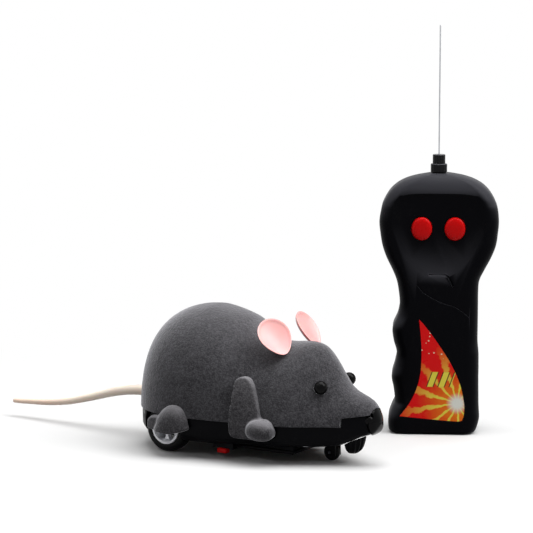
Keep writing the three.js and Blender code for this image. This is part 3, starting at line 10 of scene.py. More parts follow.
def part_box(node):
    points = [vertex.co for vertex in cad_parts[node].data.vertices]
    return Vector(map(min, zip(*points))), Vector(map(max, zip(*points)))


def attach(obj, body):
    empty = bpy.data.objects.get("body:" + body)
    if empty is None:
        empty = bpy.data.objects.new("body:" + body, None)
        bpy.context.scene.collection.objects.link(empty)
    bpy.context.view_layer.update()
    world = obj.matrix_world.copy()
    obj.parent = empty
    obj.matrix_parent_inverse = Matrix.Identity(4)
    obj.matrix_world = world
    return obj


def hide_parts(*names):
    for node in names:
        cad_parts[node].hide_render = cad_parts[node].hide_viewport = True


bl_info = {
    "name": "Remote Control Rat Toy",
    "version": (1, 0, 0),
    "blender": (4, 5, 0),
    "location": "View3D > Sidebar > Toy",
    "description": "Builds a flocked remote control rat and its handset round the packed solids",
    "category": "Object",
}

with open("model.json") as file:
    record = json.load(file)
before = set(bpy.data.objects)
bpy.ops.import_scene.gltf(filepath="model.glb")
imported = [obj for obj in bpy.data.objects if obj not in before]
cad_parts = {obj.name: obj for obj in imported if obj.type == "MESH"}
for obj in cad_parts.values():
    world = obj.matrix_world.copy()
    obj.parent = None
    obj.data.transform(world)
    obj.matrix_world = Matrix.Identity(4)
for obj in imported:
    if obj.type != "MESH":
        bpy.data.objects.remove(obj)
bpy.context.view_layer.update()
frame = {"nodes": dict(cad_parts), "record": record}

MM = 0.001
FULL = math.tau
QUARTER = math.pi / 2
SEAT = 0.3  # gap between seated pieces
WIDE = 160.0  # reach of the rat's cutters past its sides
MERGE = 0.0005  # vertices closer than this become one
WORLD = Matrix.Identity(4)


def centre_of(node):
    low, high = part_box(node)
    return (low + high) / 2 / MM


AXLE = centre_of("rear_axle")
RAT = Matrix.Translation((AXLE.x, AXLE.y, 0))
HANDSET_TURN = math.radians(28.3)
HANDSET_DEPTH = 26.0
FOOT = Vector(next(m["pos_m"] for m in frame["record"]["mounts"] if m["name"] == "handset_foot")) / MM
HANDSET = (
    Matrix.Translation(FOOT)
    @ Matrix.Rotation(HANDSET_TURN, 4, "Z")
    @ Matrix.Translation((0, -HANDSET_DEPTH / 2, 0))
)


def tone(red, green, blue):
    """A display colour of 0 to 255 as scene linear."""
    shares = (red / 255, green / 255, blue / 255)
    return tuple(c / 12.92 if c < 0.0408 else ((c + 0.055) / 1.055) ** 2.4 for c in shares)


def length(name, description, default):
    return FloatProperty(
        name=name, description=description, default=default, min=0.0001, max=0.3, unit="LENGTH"
    )


def lamp_power(name, description, default):
    return FloatProperty(name=name, description=description, default=default, min=0, unit="POWER")


def colour(name, description, *rgb):
    return FloatVectorProperty(
        name=name, description=description, default=tone(*rgb), min=0, max=1, size=3, subtype="COLOR"
    )


class RatSizes(bpy.types.PropertyGroup):
    """Sizes of the rat"""

    body_radius: length("Body radius", "Radius of the round rear of the body, seen from above", 0.0326)
    shell_wall: length("Shell wall", "Thickness of the flocked shell", 0.0018)
    eye_radius: length("Eye radius", "Radius of each bead eye", 0.003)
    ear_length: length("Ear length", "Height of each ear", 0.0185)
    ear_width: length("Ear width", "Width of each ear", 0.0164)
    tyre_radius: length("Tyre radius", "Radius of the rear tyres", 0.0106)
    tyre_width: length("Tyre width", "Width of the rear tyres", 0.0076)
    hub_radius: length("Hub radius", "Radius of the rear hubs", 0.007)
    tail_root: length("Tail root radius", "Radius of the tail at the body", 0.0026)
    tail_tip: length("Tail tip radius", "Radius of the tail at its tip", 0.0011)


class HandsetSizes(bpy.types.PropertyGroup):
    """Sizes of the handset"""

    height: length("Height", "Height of the handset's shell", 0.1212)
    half_width: length("Half width", "Half of the width that the outline's shares are measured in", 0.0276)
    wall: length("Wall", "Thickness of the shell", 0.0018)
    button_radius: length("Button radius", "Radius of each button, across", 0.0047)
    button_proud: length("Button height", "How far each button stands out of the sunk panel", 0.0019)
    antenna_radius: length("Antenna radius", "Radius of the antenna's wire", 0.00032)


class ToyColours(bpy.types.PropertyGroup):
    """Colours of the set"""

    flock: colour("Flock", "Body of the flocking", 33, 32, 35)
    flock_tip: colour("Flock tips", "Lighter tips of the flocking", 102, 101, 105)
    black: colour("Black plastic", "Chassis, jaw and castor", 6, 6, 9)
    handset: colour("Handset plastic", "Shells of the handset", 5, 5, 8)
    ear: colour("Ears", "Pink vinyl of the ears", 252, 186, 182)
    ear_deep: colour("Ear hollow", "Deeper pink in the ears' hollows", 252, 152, 152)
    tail: colour("Tail", "Flesh pink vinyl of the tail", 255, 240, 222)
    hub: colour("Hubs", "Silvery plastic of the hubs", 246, 247, 252)
    red: colour("Red plastic", "Buttons and switch knob", 214, 6, 8)
    label_red: colour("Label red", "Ground of the label", 246, 8, 12)
    label_orange: colour("Label orange", "Glow of the label", 255, 138, 26)
    label_yellow: colour("Label yellow", "Rays and bars of the label", 255, 238, 84)


class StageSettings(bpy.types.PropertyGroup):
    """Light and camera"""

    key: lamp_power("Key light", "Power of the key light", 2.8)
    fill: lamp_power("Fill light", "Power of the fill light", 13.0)
    top: lamp_power("Top light", "Power of the top light", 21.5)
    spark: lamp_power("Spark", "Power of the small highlight light", 1.0)
    world: FloatProperty(name="Ambient", description="Strength of the ambient light", default=0.15, min=0)
    lens: FloatProperty(
        name="Lens", description="Focal length of the camera", default=150.1, min=1, unit="CAMERA"
    )


# Mesh helpers. Shapes are worked in millimetres in the rat's or the handset's own frame.


def skin(along, around, place):
    """A closed skin: place(u, v) puts each vertex of a grid, u from end to end and v round."""
    bm = bmesh.new()
    bmesh.ops.create_grid(bm, x_segments=along, y_segments=around, size=1.0)
    for vert in bm.verts:
        vert.co = place((vert.co.x + 1) / 2, (vert.co.y + 1) / 2)
    bmesh.ops.remove_doubles(bm, verts=bm.verts, dist=MERGE)
    bmesh.ops.recalc_face_normals(bm, faces=bm.faces)
    return bm


def block(x0, x1, y0, y1, z0, z1):
    bm = bmesh.new()
    bmesh.ops.create_cube(bm, size=1.0)
    bmesh.ops.scale(bm, vec=(x1 - x0, y1 - y0, z1 - z0), verts=bm.verts)
    bmesh.ops.translate(bm, vec=((x0 + x1) / 2, (y0 + y1) / 2, (z0 + z1) / 2), verts=bm.verts)
    return bm


def turn_to(bm, axis):
    """Turns a shape made along z to lie along another axis."""
    if axis == "x":
        bmesh.ops.rotate(bm, cent=(0, 0, 0), matrix=Matrix.Rotation(QUARTER, 3, "Y"), verts=bm.verts)
    if axis == "y":
        bmesh.ops.rotate(bm, cent=(0, 0, 0), matrix=Matrix.Rotation(-QUARTER, 3, "X"), verts=bm.verts)


def rod(axis, radius, start, end, a, b, sides=48):
    """A rod along an axis between two stations, at (a, b) in the other two."""
    bm = bmesh.new()
    bmesh.ops.create_cone(
        bm, cap_ends=True, cap_tris=False, segments=sides, radius1=radius, radius2=radius, depth=end - start
    )
    turn_to(bm, axis)
    middle = (start + end) / 2
    place = {"x": (middle, a, b), "y": (a, middle, b), "z": (a, b, middle)}[axis]
    bmesh.ops.translate(bm, vec=place, verts=bm.verts)
    return bm


def ball(x, y, z, rx, ry=None, rz=None, sides=48):
    """A ball, or an egg where the three radii differ, with its poles along z."""

    def place(u, v):
        across = math.sin(u * math.pi)
        right = rx * across * math.cos(v * FULL)
        ahead = (ry or rx) * across * math.sin(v * FULL)
        return Vector((x + right, y + ahead, z + (rz or rx) * math.cos(u * math.pi)))

    return skin(sides // 2, sides, place)


def turned(axis, profile, a=0.0, b=0.0, steps=64):
    """A profile of (radius, station) spun about an axis through (a, b)."""
    rows = list(profile)
    if rows[0][0] > 0:
        rows.append(rows[0])
    last = len(rows) - 1

    def place(u, v):
        radius, station = rows[round(u * last)]
        return Vector((radius * math.cos(v * FULL), radius * math.sin(v * FULL), station))

    bm = skin(last, steps, place)
    turn_to(bm, axis)
    middle = {"x": (0, a, b), "y": (a, 0, b), "z": (a, b, 0)}[axis]
    bmesh.ops.translate(bm, vec=middle, verts=bm.verts)
    return bm


def prism(points, start, end):
    """A flat outline (x, z) raised along y between two stations."""
    bm = bmesh.new()
    face = bm.faces.new([bm.verts.new((x, start, z)) for x, z in points])
    raised = bmesh.ops.extrude_face_region(bm, geom=[face])
    far_verts = [item for item in raised["geom"] if isinstance(item, bmesh.types.BMVert)]
    bmesh.ops.translate(bm, vec=(0, end - start, 0), verts=far_verts)
    bmesh.ops.recalc_face_normals(bm, faces=bm.faces)
    return bm


def cushion(points, centre, reach, start, end, rounding, rings=6):
    """An outline (x, z) raised along y between two stations, rounded at both ends."""
    turns = [(i / rings) * QUARTER for i in range(rings + 1)]
    rows = [(0, start)]
    for turn in reversed(turns):
        rows.append((1 - rounding * (1 - math.cos(turn)) / reach, start + rounding * (1 - math.sin(turn))))
    for turn in turns:
        rows.append((1 - rounding * (1 - math.cos(turn)) / reach, end - rounding * (1 - math.sin(turn))))
    rows.append((0, end))
    count = len(points)

    def place(u, v):
        share, y = rows[round(u * (len(rows) - 1))]
        x, z = points[round(v * count) % count]
        return Vector((centre[0] + (x - centre[0]) * share, y, centre[1] + (z - centre[1]) * share))

    return skin(len(rows) - 1, count, place)


def flow(points, steps, closed=False):
    """Points on a smooth curve through the given ones."""
    count = len(points)
    last = count if closed else count - 1
    out = []
    for i in range(last):
        if closed:
            p0, p1, p2, p3 = (points[(i + k - 1) % count] for k in range(4))
        else:
            p0, p1, p2, p3 = (points[min(max(i + k - 1, 0), count - 1)] for k in range(4))
        for k in range(steps):
            t = k / steps
            row = []
            for a, b, c, d in zip(p0, p1, p2, p3):
                bend = a - 2.5 * b + 2 * c - d / 2
                twist = d - a + 3 * (b - c)
                row.append(b + t * (c - a) / 2 + t * t * bend + t**3 * twist / 2)
            out.append(tuple(row))
    if not closed:
        out.append(tuple(points[-1]))
    return out


def at(rows, u):
    """The row at a share u of the way through a list of rows."""
    place = min(max(u, 0), 1) * (len(rows) - 1)
    i = min(int(place), len(rows) - 2)
    t = place - i
    return [p + (q - p) * t for p, q in zip(rows[i], rows[i + 1])]


OUTLINE_STEPS = 6


def outline(shares, left, width, bottom, height, corners=()):
    """An outline through points given as shares of a box, smooth but for the corners named."""
    points = [(left + a * width, bottom + b * height) for a, b in shares]
    if not corners:
        return flow(points, OUTLINE_STEPS, closed=True)
    out = []
    for start, end in zip(corners, corners[1:] + (corners[0] + len(points),)):
        stretch = [points[i % len(points)] for i in range(start, end + 1)]
        out += flow(stretch, OUTLINE_STEPS)[:-1]
    return out


def as_object(name, bm, place):
    bmesh.ops.transform(bm, matrix=Matrix.Scale(MM, 4) @ place, verts=bm.verts)
    mesh = bpy.data.meshes.new(name)
    bm.to_mesh(mesh)
    bm.free()
    obj = bpy.data.objects.new(name, mesh)
    bpy.context.scene.collection.objects.link(obj)
    return obj


def settle(obj):
    """Writes an object's modifiers into its mesh."""
    graph = bpy.context.evaluated_depsgraph_get()
    mesh = bpy.data.meshes.new_from_object(obj.evaluated_get(graph))
    obj.modifiers.clear()
    old = obj.data
    obj.data = mesh
    bpy.data.meshes.remove(old)


KINDS = {"cut": "DIFFERENCE", "add": "UNION", "keep": "INTERSECT"}


def work(obj, steps):
    """Works an object with steps of (word, tool object), in turn, and removes the tools."""
    for word, tool in steps:
        change = obj.modifiers.new(word, "BOOLEAN")
        change.operation = KINDS[word]
        change.solver = "MANIFOLD"
        change.object = tool
    settle(obj)
    for _, tool in steps:
        mesh = tool.data
        bpy.data.objects.remove(tool)
        bpy.data.meshes.remove(mesh)


def carve(name, place, base, *steps):
    """An object from a base shape and steps of (word, shape): "cut", "add" or "keep"."""
    obj = as_object(name, base, place)
    work(obj, [(word, as_object(name + "_tool", shape, place)) for word, shape in steps])
    if not obj.data.polygons:
        raise RuntimeError(f"{name} came out empty")
    return obj


def join_pieces(name, first, second):
    """Two objects made one closed piece."""
    work(first, [("add", second)])
    first.name = name
    first.data.name = name
    return first


def cut_back(obj, place, *shapes):
    """Cuts shapes out of a finished object."""
    work(obj, [("cut", as_object("tool", shape, place)) for shape in shapes])


def soften(obj, voxel, rounds):
    """Rounds a flocked piece all over by a grid of small cells and rounds of smoothing."""
    grid = obj.modifiers.new("Pile", "REMESH")
    grid.mode = "VOXEL"
    grid.voxel_size = voxel * MM
    relax = obj.modifiers.new("Relax", "SMOOTH")
    relax.factor = 0.5
    relax.iterations = rounds
    settle(obj)


def flatten(bm, angle):
    """Joins faces that lie in one plane to within an angle in degrees."""
    bmesh.ops.dissolve_limit(
        bm, angle_limit=math.radians(angle), use_dissolve_boundaries=False, verts=bm.verts, edges=bm.edges
    )


def round_edges(obj, width, angle, segments):
    bevel = obj.modifiers.new("Edges", "BEVEL")
    bevel.width = width * MM
    bevel.segments = segments
    bevel.limit_method = "ANGLE"
    bevel.angle_limit = math.radians(angle)
    bevel.use_clamp_overlap = True


def edge(obj, width, angle=32, segments=2):
    """A small rounded edge on a moulded or turned piece."""
    bm = bmesh.new()
    bm.from_mesh(obj.data)
    flatten(bm, 0.4)
    bm.to_mesh(obj.data)
    bm.free()
    round_edges(obj, width, angle, segments)


def finish(obj, material, body, slot, *nodes, angle=38):
    """Gives a piece its finish and puts it on its body in place of its CAD nodes."""
    mesh = obj.data
    mesh.shade_smooth()
    mesh.set_sharp_from_angle(angle=math.radians(angle))
    if not any(mesh.materials):
        mesh.materials.clear()
        mesh.materials.append(material)
    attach(obj, body)
    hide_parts(*nodes)
    return obj


def dressed(node, material, body, slot, bevel=0.15, angle=38):
    """A merged copy of a CAD node with rounded edges and a real finish."""
    bm = bmesh.new()
    bm.from_mesh(frame["nodes"][node].data)
    bmesh.ops.remove_doubles(bm, verts=bm.verts, dist=1e-6)
    flatten(bm, 0.5)
    mesh = bpy.data.meshes.new(node + "_piece")
    bm.to_mesh(mesh)
    bm.free()
    obj = bpy.data.objects.new(node + "_piece", mesh)
    bpy.context.scene.collection.objects.link(obj)
    round_edges(obj, bevel, 32, 2)
    return finish(obj, material, body, slot, node, angle=angle)


def paint_faces(obj, materials, choose):
    """Several materials on one piece: choose(centre in millimetres) gives a face's slot."""
    obj.data.materials.clear()
    for material in materials:
        obj.data.materials.append(material)
    for face in obj.data.polygons:
        face.material_index = choose(face.center / MM)


# Shader groups


# Pale pile tone for the painted rim sheen and the painted light on top of the flocking
PAINTED_LIGHT_PILE = tone(156, 154, 158)
DUST = (0.5, 0.49, 0.47)
# Grey-blue tone for the painted sheen of light from above on plastic faces that look up
PAINTED_TOP_SHEEN_TONE = (0.46, 0.46, 0.53)
STAIN = (0.55, 0.52, 0.5)


def new_group(name, inputs):
    """An empty group that takes the inputs and gives a colour, a height and a roughness."""
    tree = bpy.data.node_groups.new(name, "ShaderNodeTree")
    for label, kind, default in inputs:
        socket = tree.interface.new_socket(name=label, in_out="INPUT", socket_type="NodeSocket" + kind)
        if default is not None:
            socket.default_value = default
    for label, kind in (("Color", "Color"), ("Height", "Float"), ("Roughness", "Float")):
        tree.interface.new_socket(name=label, in_out="OUTPUT", socket_type="NodeSocket" + kind)
    return tree, tree.nodes.new("NodeGroupInput"), tree.nodes.new("NodeGroupOutput")


def feed(tree, source, target):
    """Links a socket, or sets a plain value."""
    if isinstance(source, bpy.types.NodeSocket):
        tree.links.new(source, target)
    else:
        target.default_value = source


def calc(tree, operation, *values):
    node = tree.nodes.new("ShaderNodeMath")
    node.operation = operation
    for value, socket in zip(values, node.inputs):
        feed(tree, value, socket)
    return node.outputs[0]


def ramp(tree, value, low, high):
    """0 below low, 1 over high and smooth between."""
    node = tree.nodes.new("ShaderNodeMapRange")
    node.interpolation_type = "SMOOTHSTEP"
    feed(tree, value, node.inputs["Value"])
    feed(tree, low, node.inputs["From Min"])
    feed(tree, high, node.inputs["From Max"])
    return node.outputs["Result"]


def falling(tree, value, low, high):
    """1 below low, 0 over high and smooth between."""
    return calc(tree, "SUBTRACT", 1.0, ramp(tree, value, low, high))


def times(tree, product, *others):
    """The product of all the values."""
    for value in others:
        product = calc(tree, "MULTIPLY", product, value)
    return product


def facing_up(tree, low, high):
    """0 on faces that look sideways or down, 1 on those that look up."""
    normal = tree.nodes.new("ShaderNodeSeparateXYZ")
    tree.links.new(tree.nodes.new("ShaderNodeTexCoord").outputs["Normal"], normal.inputs["Vector"])
    return ramp(tree, normal.outputs["Z"], low, high)


def blend_colour(tree, share, first, second, blend="MIX"):
    node = tree.nodes.new("ShaderNodeMix")
    node.data_type = "RGBA"
    node.blend_type = blend
    feed(tree, share, node.inputs[0])
    for value, socket in ((first, node.inputs[6]), (second, node.inputs[7])):
        if not isinstance(value, bpy.types.NodeSocket):
            value = (*value, 1.0)
        feed(tree, value, socket)
    return node.outputs[2]


def noise(tree, vector, scale, detail, roughness):
    node = tree.nodes.new("ShaderNodeTexNoise")
    feed(tree, vector, node.inputs["Vector"])
    feed(tree, scale, node.inputs["Scale"])
    node.inputs["Detail"].default_value = detail
    node.inputs["Roughness"].default_value = roughness
    return node.outputs["Fac"]


def pile_group():
    """Short flocking: patches where the pile lies differently, its fine tips, a painted rim sheen and
    painted light on top.
    """
    tree, given, result = new_group(
        "Flock Pile",
        [("Vector", "Vector", None), ("Body", "Color", (0.05, 0.05, 0.05, 1)),
         ("Tip", "Color", (0.2, 0.2, 0.2, 1)), ("Patch Scale", "Float", 150.0),
         ("Pile Scale", "Float", 1700.0), ("Tip Share", "Float", 0.5), ("Fringe", "Float", 0.5),
         ("Upward", "Float", 0.07)],
    )
    vector, scale = given.outputs["Vector"], given.outputs["Pile Scale"]
    patches = noise(tree, vector, given.outputs["Patch Scale"], 3.0, 0.55)
    tips = noise(tree, vector, scale, 1.0, 0.5)
    lumps = noise(tree, vector, times(tree, scale, 0.4), 2.0, 0.6)
    patchy = calc(tree, "MULTIPLY_ADD", ramp(tree, patches, 0.3, 0.75), 0.26, 0.08)
    tipped = times(tree, ramp(tree, tips, 0.4, 0.66), 0.52)
    lumpy = times(tree, ramp(tree, lumps, 0.36, 0.68), 0.34)
    mixed = calc(tree, "ADD", patchy, calc(tree, "ADD", tipped, lumpy))
    share = times(tree, mixed, given.outputs["Tip Share"])
    tinted = blend_colour(tree, share, given.outputs["Body"], given.outputs["Tip"])
    # Painted rim sheen: faces seen edge-on are painted towards the pale pile tone
    rim = tree.nodes.new("ShaderNodeLayerWeight")
    painted_rim_sheen = times(tree, calc(tree, "POWER", rim.outputs["Facing"], 3.5), given.outputs["Fringe"])
    edged = blend_colour(tree, painted_rim_sheen, tinted, PAINTED_LIGHT_PILE)
    # Painted light from above: faces that look up are painted towards the pale pile tone
    painted_top_light = times(tree, facing_up(tree, 0.1, 0.9), given.outputs["Upward"])
    tree.links.new(blend_colour(tree, painted_top_light, edged, PAINTED_LIGHT_PILE), result.inputs["Color"])
    height = calc(tree, "ADD", times(tree, tips, 0.6), times(tree, lumps, 0.8))
    tree.links.new(height, result.inputs["Height"])
    tree.links.new(calc(tree, "ADD", times(tree, patches, 0.12), 0.86), result.inputs["Roughness"])
    return tree


def moulded_group():
    """Moulded plastic: a fine grain, uneven gloss, a little dust, and a painted sheen of light from above
    on faces that look up.
    """
    tree, given, result = new_group(
        "Moulded Surface",
        [("Vector", "Vector", None), ("Colour", "Color", (0.1, 0.1, 0.1, 1)), ("Gloss Base", "Float", 0.35),
         ("Uneven", "Float", 0.12), ("Grain Scale", "Float", 1800.0), ("Dust", "Float", 0.03),
         ("Settled", "Float", 0.0)],
    )
    vector = given.outputs["Vector"]
    grain = noise(tree, vector, given.outputs["Grain Scale"], 2.0, 0.6)
    clouds = noise(tree, vector, 110.0, 4.0, 0.6)
    specks = noise(tree, vector, 900.0, 3.0, 0.7)
    dust = times(tree, ramp(tree, times(tree, specks, clouds), 0.27, 0.46), given.outputs["Dust"])
    tinted = blend_colour(tree, dust, given.outputs["Colour"], DUST)
    # Painted sheen of light from above: faces that look up are painted towards the grey-blue tone
    painted_top_light = times(tree, facing_up(tree, 0.0, 0.36), given.outputs["Settled"])
    tree.links.new(blend_colour(tree, painted_top_light, tinted, PAINTED_TOP_SHEEN_TONE), result.inputs["Color"])
    swing = times(tree, calc(tree, "SUBTRACT", clouds, 0.5), given.outputs["Uneven"])
    gloss = calc(tree, "ADD", given.outputs["Gloss Base"], swing)
    tree.links.new(calc(tree, "ADD", gloss, times(tree, dust, 0.8)), result.inputs["Roughness"])
    tree.links.new(calc(tree, "ADD", times(tree, grain, 0.7), dust), result.inputs["Height"])
    return tree


def brushed_group():
    """Rolled or drawn metal: streaks along one axis and faint stains."""
    tree, given, result = new_group(
        "Drawn Metal",
        [("Vector", "Vector", None), ("Colour", "Color", (0.5, 0.5, 0.5, 1)), ("Gloss Base", "Float", 0.3),
         ("Streaks", "Vector", (900.0, 900.0, 60.0))],
    )
    stretch = tree.nodes.new("ShaderNodeVectorMath")
    stretch.operation = "MULTIPLY"
    tree.links.new(given.outputs["Vector"], stretch.inputs[0])
    tree.links.new(given.outputs["Streaks"], stretch.inputs[1])
    streaks = noise(tree, stretch.outputs[0], 1.0, 3.0, 0.6)
    stains = noise(tree, given.outputs["Vector"], 240.0, 3.0, 0.6)
    stained = times(tree, ramp(tree, stains, 0.35, 0.8), 0.35)
    tinted = blend_colour(tree, stained, given.outputs["Colour"], STAIN, "MULTIPLY")
    tree.links.new(tinted, result.inputs["Color"])
    tree.links.new(streaks, result.inputs["Height"])
    gloss = calc(tree, "ADD", given.outputs["Gloss Base"], times(tree, streaks, 0.16))
    tree.links.new(gloss, result.inputs["Roughness"])
    return tree


def open_material(name):
    material = bpy.data.materials.new(name)
    material.use_nodes = True
    tree = material.node_tree
    shader = tree.nodes["Principled BSDF"]
    return material, tree, shader, tree.nodes.new("ShaderNodeTexCoord").outputs["Object"]


def bumped(tree, shader, height, distance):
    bump = tree.nodes.new("ShaderNodeBump")
    bump.inputs["Distance"].default_value = distance * MM
    bump.inputs["Strength"].default_value = 1.0
    tree.links.new(height, bump.inputs["Height"])
    tree.links.new(bump.outputs["Normal"], shader.inputs["Normal"])


def surfaced(tree, shader, surface, bump):
    """Links a group's colour and roughness to the shader, and its height as bump of so many millimetres."""
    tree.links.new(surface.outputs["Color"], shader.inputs["Base Color"])
    tree.links.new(surface.outputs["Roughness"], shader.inputs["Roughness"])
    bumped(tree, shader, surface.outputs["Height"], bump)


def use_group(tree, group, vector, **values):
    node = tree.nodes.new("ShaderNodeGroup")
    node.node_tree = group
    tree.links.new(vector, node.inputs["Vector"])
    for label, value in values.items():
        socket = node.inputs[label.replace("_", " ")]
        if isinstance(value, bpy.types.NodeSocket):
            tree.links.new(value, socket)
        elif socket.type == "RGBA":
            socket.default_value = (*value, 1.0)
        else:
            socket.default_value = value
    return node


# The rim and top strengths set how much painted rim sheen and painted light from above the flocking gets
def flocked(name, body, tip, patch=150.0, painted_rim_sheen=0.5, painted_top_light=0.07):
    material, tree, shader, vector = open_material(name)
    pile = use_group(
        tree, FINISH["pile"], vector, Body=body, Tip=tip, Patch_Scale=patch, Tip_Share=0.55,
        Fringe=painted_rim_sheen, Upward=painted_top_light,
    )
    shader.inputs["Specular IOR Level"].default_value = 0.05
    shader.inputs["Sheen Weight"].default_value = 1.0
    shader.inputs["Sheen Roughness"].default_value = 0.42
    shader.inputs["Sheen Tint"].default_value = (0.82, 0.82, 0.86, 1)
    surfaced(tree, shader, pile, 0.3)
    return material


# One strength sets a painted sheen of light from above on faces that look up
def moulded(
    name, rgb, gloss, grain=1800.0, bump=0.012, dust=0.03, uneven=0.12, coat=0.0, shine=0.5, painted_top_sheen=0.0,
    metallic=0.0,
):
    material, tree, shader, vector = open_material(name)
    surface = use_group(
        tree, FINISH["moulded"], vector, Colour=rgb, Gloss_Base=gloss, Grain_Scale=grain, Dust=dust,
        Uneven=uneven, Settled=painted_top_sheen,
    )
    shader.inputs["Coat Weight"].default_value = coat
    shader.inputs["Coat Roughness"].default_value = 0.12
    shader.inputs["Specular IOR Level"].default_value = shine
    shader.inputs["Metallic"].default_value = metallic
    surfaced(tree, shader, surface, bump)
    return material


def metal(name, rgb, gloss, streaks=(900.0, 900.0, 60.0)):
    material, tree, shader, vector = open_material(name)
    surface = use_group(tree, FINISH["brushed"], vector, Colour=rgb, Gloss_Base=gloss, Streaks=streaks)
    shader.inputs["Metallic"].default_value = 1.0
    surfaced(tree, shader, surface, 0.006)
    return material


def board_material(name):
    """Green board with a pattern of copper tracks under its lacquer."""
    material, tree, shader, vector = open_material(name)
    cells = tree.nodes.new("ShaderNodeTexVoronoi")
    cells.distance = "MANHATTAN"
    cells.inputs["Scale"].default_value = 420.0
    tree.links.new(vector, cells.inputs["Vector"])
    tracks = ramp(tree, cells.outputs["Distance"], 0.46, 0.5)
    pads = calc(tree, "LESS_THAN", cells.outputs["Distance"], 0.12)
    green = blend_colour(tree, tracks, tone(28, 92, 48), tone(46, 128, 66))
    full = blend_colour(tree, pads, green, tone(200, 200, 196))
    surface = use_group(tree, FINISH["moulded"], vector, Colour=full, Gloss_Base=0.3, Dust=0.02)
    tree.links.new(surface.outputs["Color"], shader.inputs["Base Color"])
    tree.links.new(surface.outputs["Roughness"], shader.inputs["Roughness"])
    bumped(tree, shader, tracks, 0.03)
    return material


def vinyl(name, rgb, deep, centre, reach):
    """Soft vinyl with a deeper tone round one spot, mottled as thin vinyl is."""
    material, tree, shader, vector = open_material(name)
    away = tree.nodes.new("ShaderNodeVectorMath")
    away.operation = "DISTANCE"
    tree.links.new(vector, away.inputs[0])
    away.inputs[1].default_value = centre
    mottle = noise(tree, vector, 260.0, 3.0, 0.6)
    nearness = falling(tree, away.outputs["Value"], 0.0, reach)
    share = calc(tree, "ADD", times(tree, nearness, 0.75), times(tree, mottle, 0.35))
    tinted = blend_colour(tree, times(tree, share, 0.8), rgb, deep)
    surface = use_group(
        tree, FINISH["moulded"], vector, Colour=tinted, Gloss_Base=0.42, Dust=0.0, Uneven=0.2
    )
    shader.inputs["Subsurface Weight"].default_value = 0.15
    shader.inputs["Subsurface Scale"].default_value = 0.002
    shader.inputs["Sheen Weight"].default_value = 0.45
    shader.inputs["Sheen Roughness"].default_value = 0.5
    shader.inputs["Specular IOR Level"].default_value = 0.8
    surfaced(tree, shader, surface, 0.02)
    return material


LABEL_SPOT = (9.5, 15.0)
LABEL_LEAN = -0.36


def label_material(name, colours):
    """Plain printed label: a red ground that glows to orange, rays from a bright spot, bars and sparks."""
    material, tree, shader, vector = open_material(name)
    shift = tree.nodes.new("ShaderNodeMapping")
    shift.inputs["Location"].default_value = tuple(-HANDSET.translation * MM)
    tree.links.new(vector, shift.inputs["Vector"])
    turn = tree.nodes.new("ShaderNodeMapping")
    turn.inputs["Rotation"].default_value = (0, 0, -HANDSET_TURN)
    turn.inputs["Scale"].default_value = (1 / MM, 1 / MM, 1 / MM)
    tree.links.new(shift.outputs["Vector"], turn.inputs["Vector"])
    own = turn.outputs["Vector"]
    parts = tree.nodes.new("ShaderNodeSeparateXYZ")
    tree.links.new(own, parts.inputs["Vector"])
    x, z = parts.outputs["X"], parts.outputs["Z"]
    blotch = noise(tree, own, 0.16, 3.0, 0.6)

    dx = calc(tree, "SUBTRACT", x, LABEL_SPOT[0])
    dz = calc(tree, "SUBTRACT", z, LABEL_SPOT[1])
    away = calc(tree, "SQRT", calc(tree, "ADD", times(tree, dx, dx), times(tree, dz, dz)))
    turns = times(tree, calc(tree, "ARCTAN2", dz, dx), 13.0)
    wavy = calc(tree, "SINE", calc(tree, "ADD", turns, times(tree, blotch, 5.0)))
    rays = times(tree, ramp(tree, wavy, 0.35, 0.85), falling(tree, away, 5.0, 30.0))
    glow = falling(tree, calc(tree, "ADD", away, times(tree, blotch, 9.0)), 5.0, 24.0)
    ground = blend_colour(tree, glow, tuple(colours.label_red), tuple(colours.label_orange))
    lit = blend_colour(tree, rays, ground, tuple(colours.label_yellow))
    hot = blend_colour(tree, falling(tree, away, 1.6, 5.5), lit, (1.0, 0.99, 0.9))

    slant = calc(tree, "ADD", x, times(tree, z, LABEL_LEAN))
    bars = calc(tree, "PINGPONG", calc(tree, "ADD", slant, 40.0), 2.6)
    band = times(tree, ramp(tree, z, 22.6, 22.9), falling(tree, z, 29.6, 29.9))
    stretch = times(tree, ramp(tree, slant, -14.4, -14.2), falling(tree, slant, -2.0, -1.8))
    window = times(tree, band, stretch)
    dark = times(tree, window, ramp(tree, bars, 0.8, 0.95))
    bright = times(tree, window, ramp(tree, bars, 1.25, 1.4))
    barred = blend_colour(tree, dark, hot, tone(70, 26, 14))
    painted = blend_colour(tree, bright, barred, tuple(colours.label_yellow))
    dots = tree.nodes.new("ShaderNodeTexVoronoi")
    dots.inputs["Scale"].default_value = 0.42
    tree.links.new(own, dots.inputs["Vector"])
    near = calc(tree, "LESS_THAN", dots.outputs["Distance"], 0.16)
    sparks = times(tree, near, ramp(tree, z, 33.0, 36.0), 0.85)
    final = blend_colour(tree, sparks, painted, (0.95, 0.85, 0.6))
    surface = use_group(tree, FINISH["moulded"], vector, Colour=final, Gloss_Base=0.28, Dust=0.01)
    shader.inputs["Specular IOR Level"].default_value = 0.15
    surfaced(tree, shader, surface, 0.004)
    return material


FINISH = {}


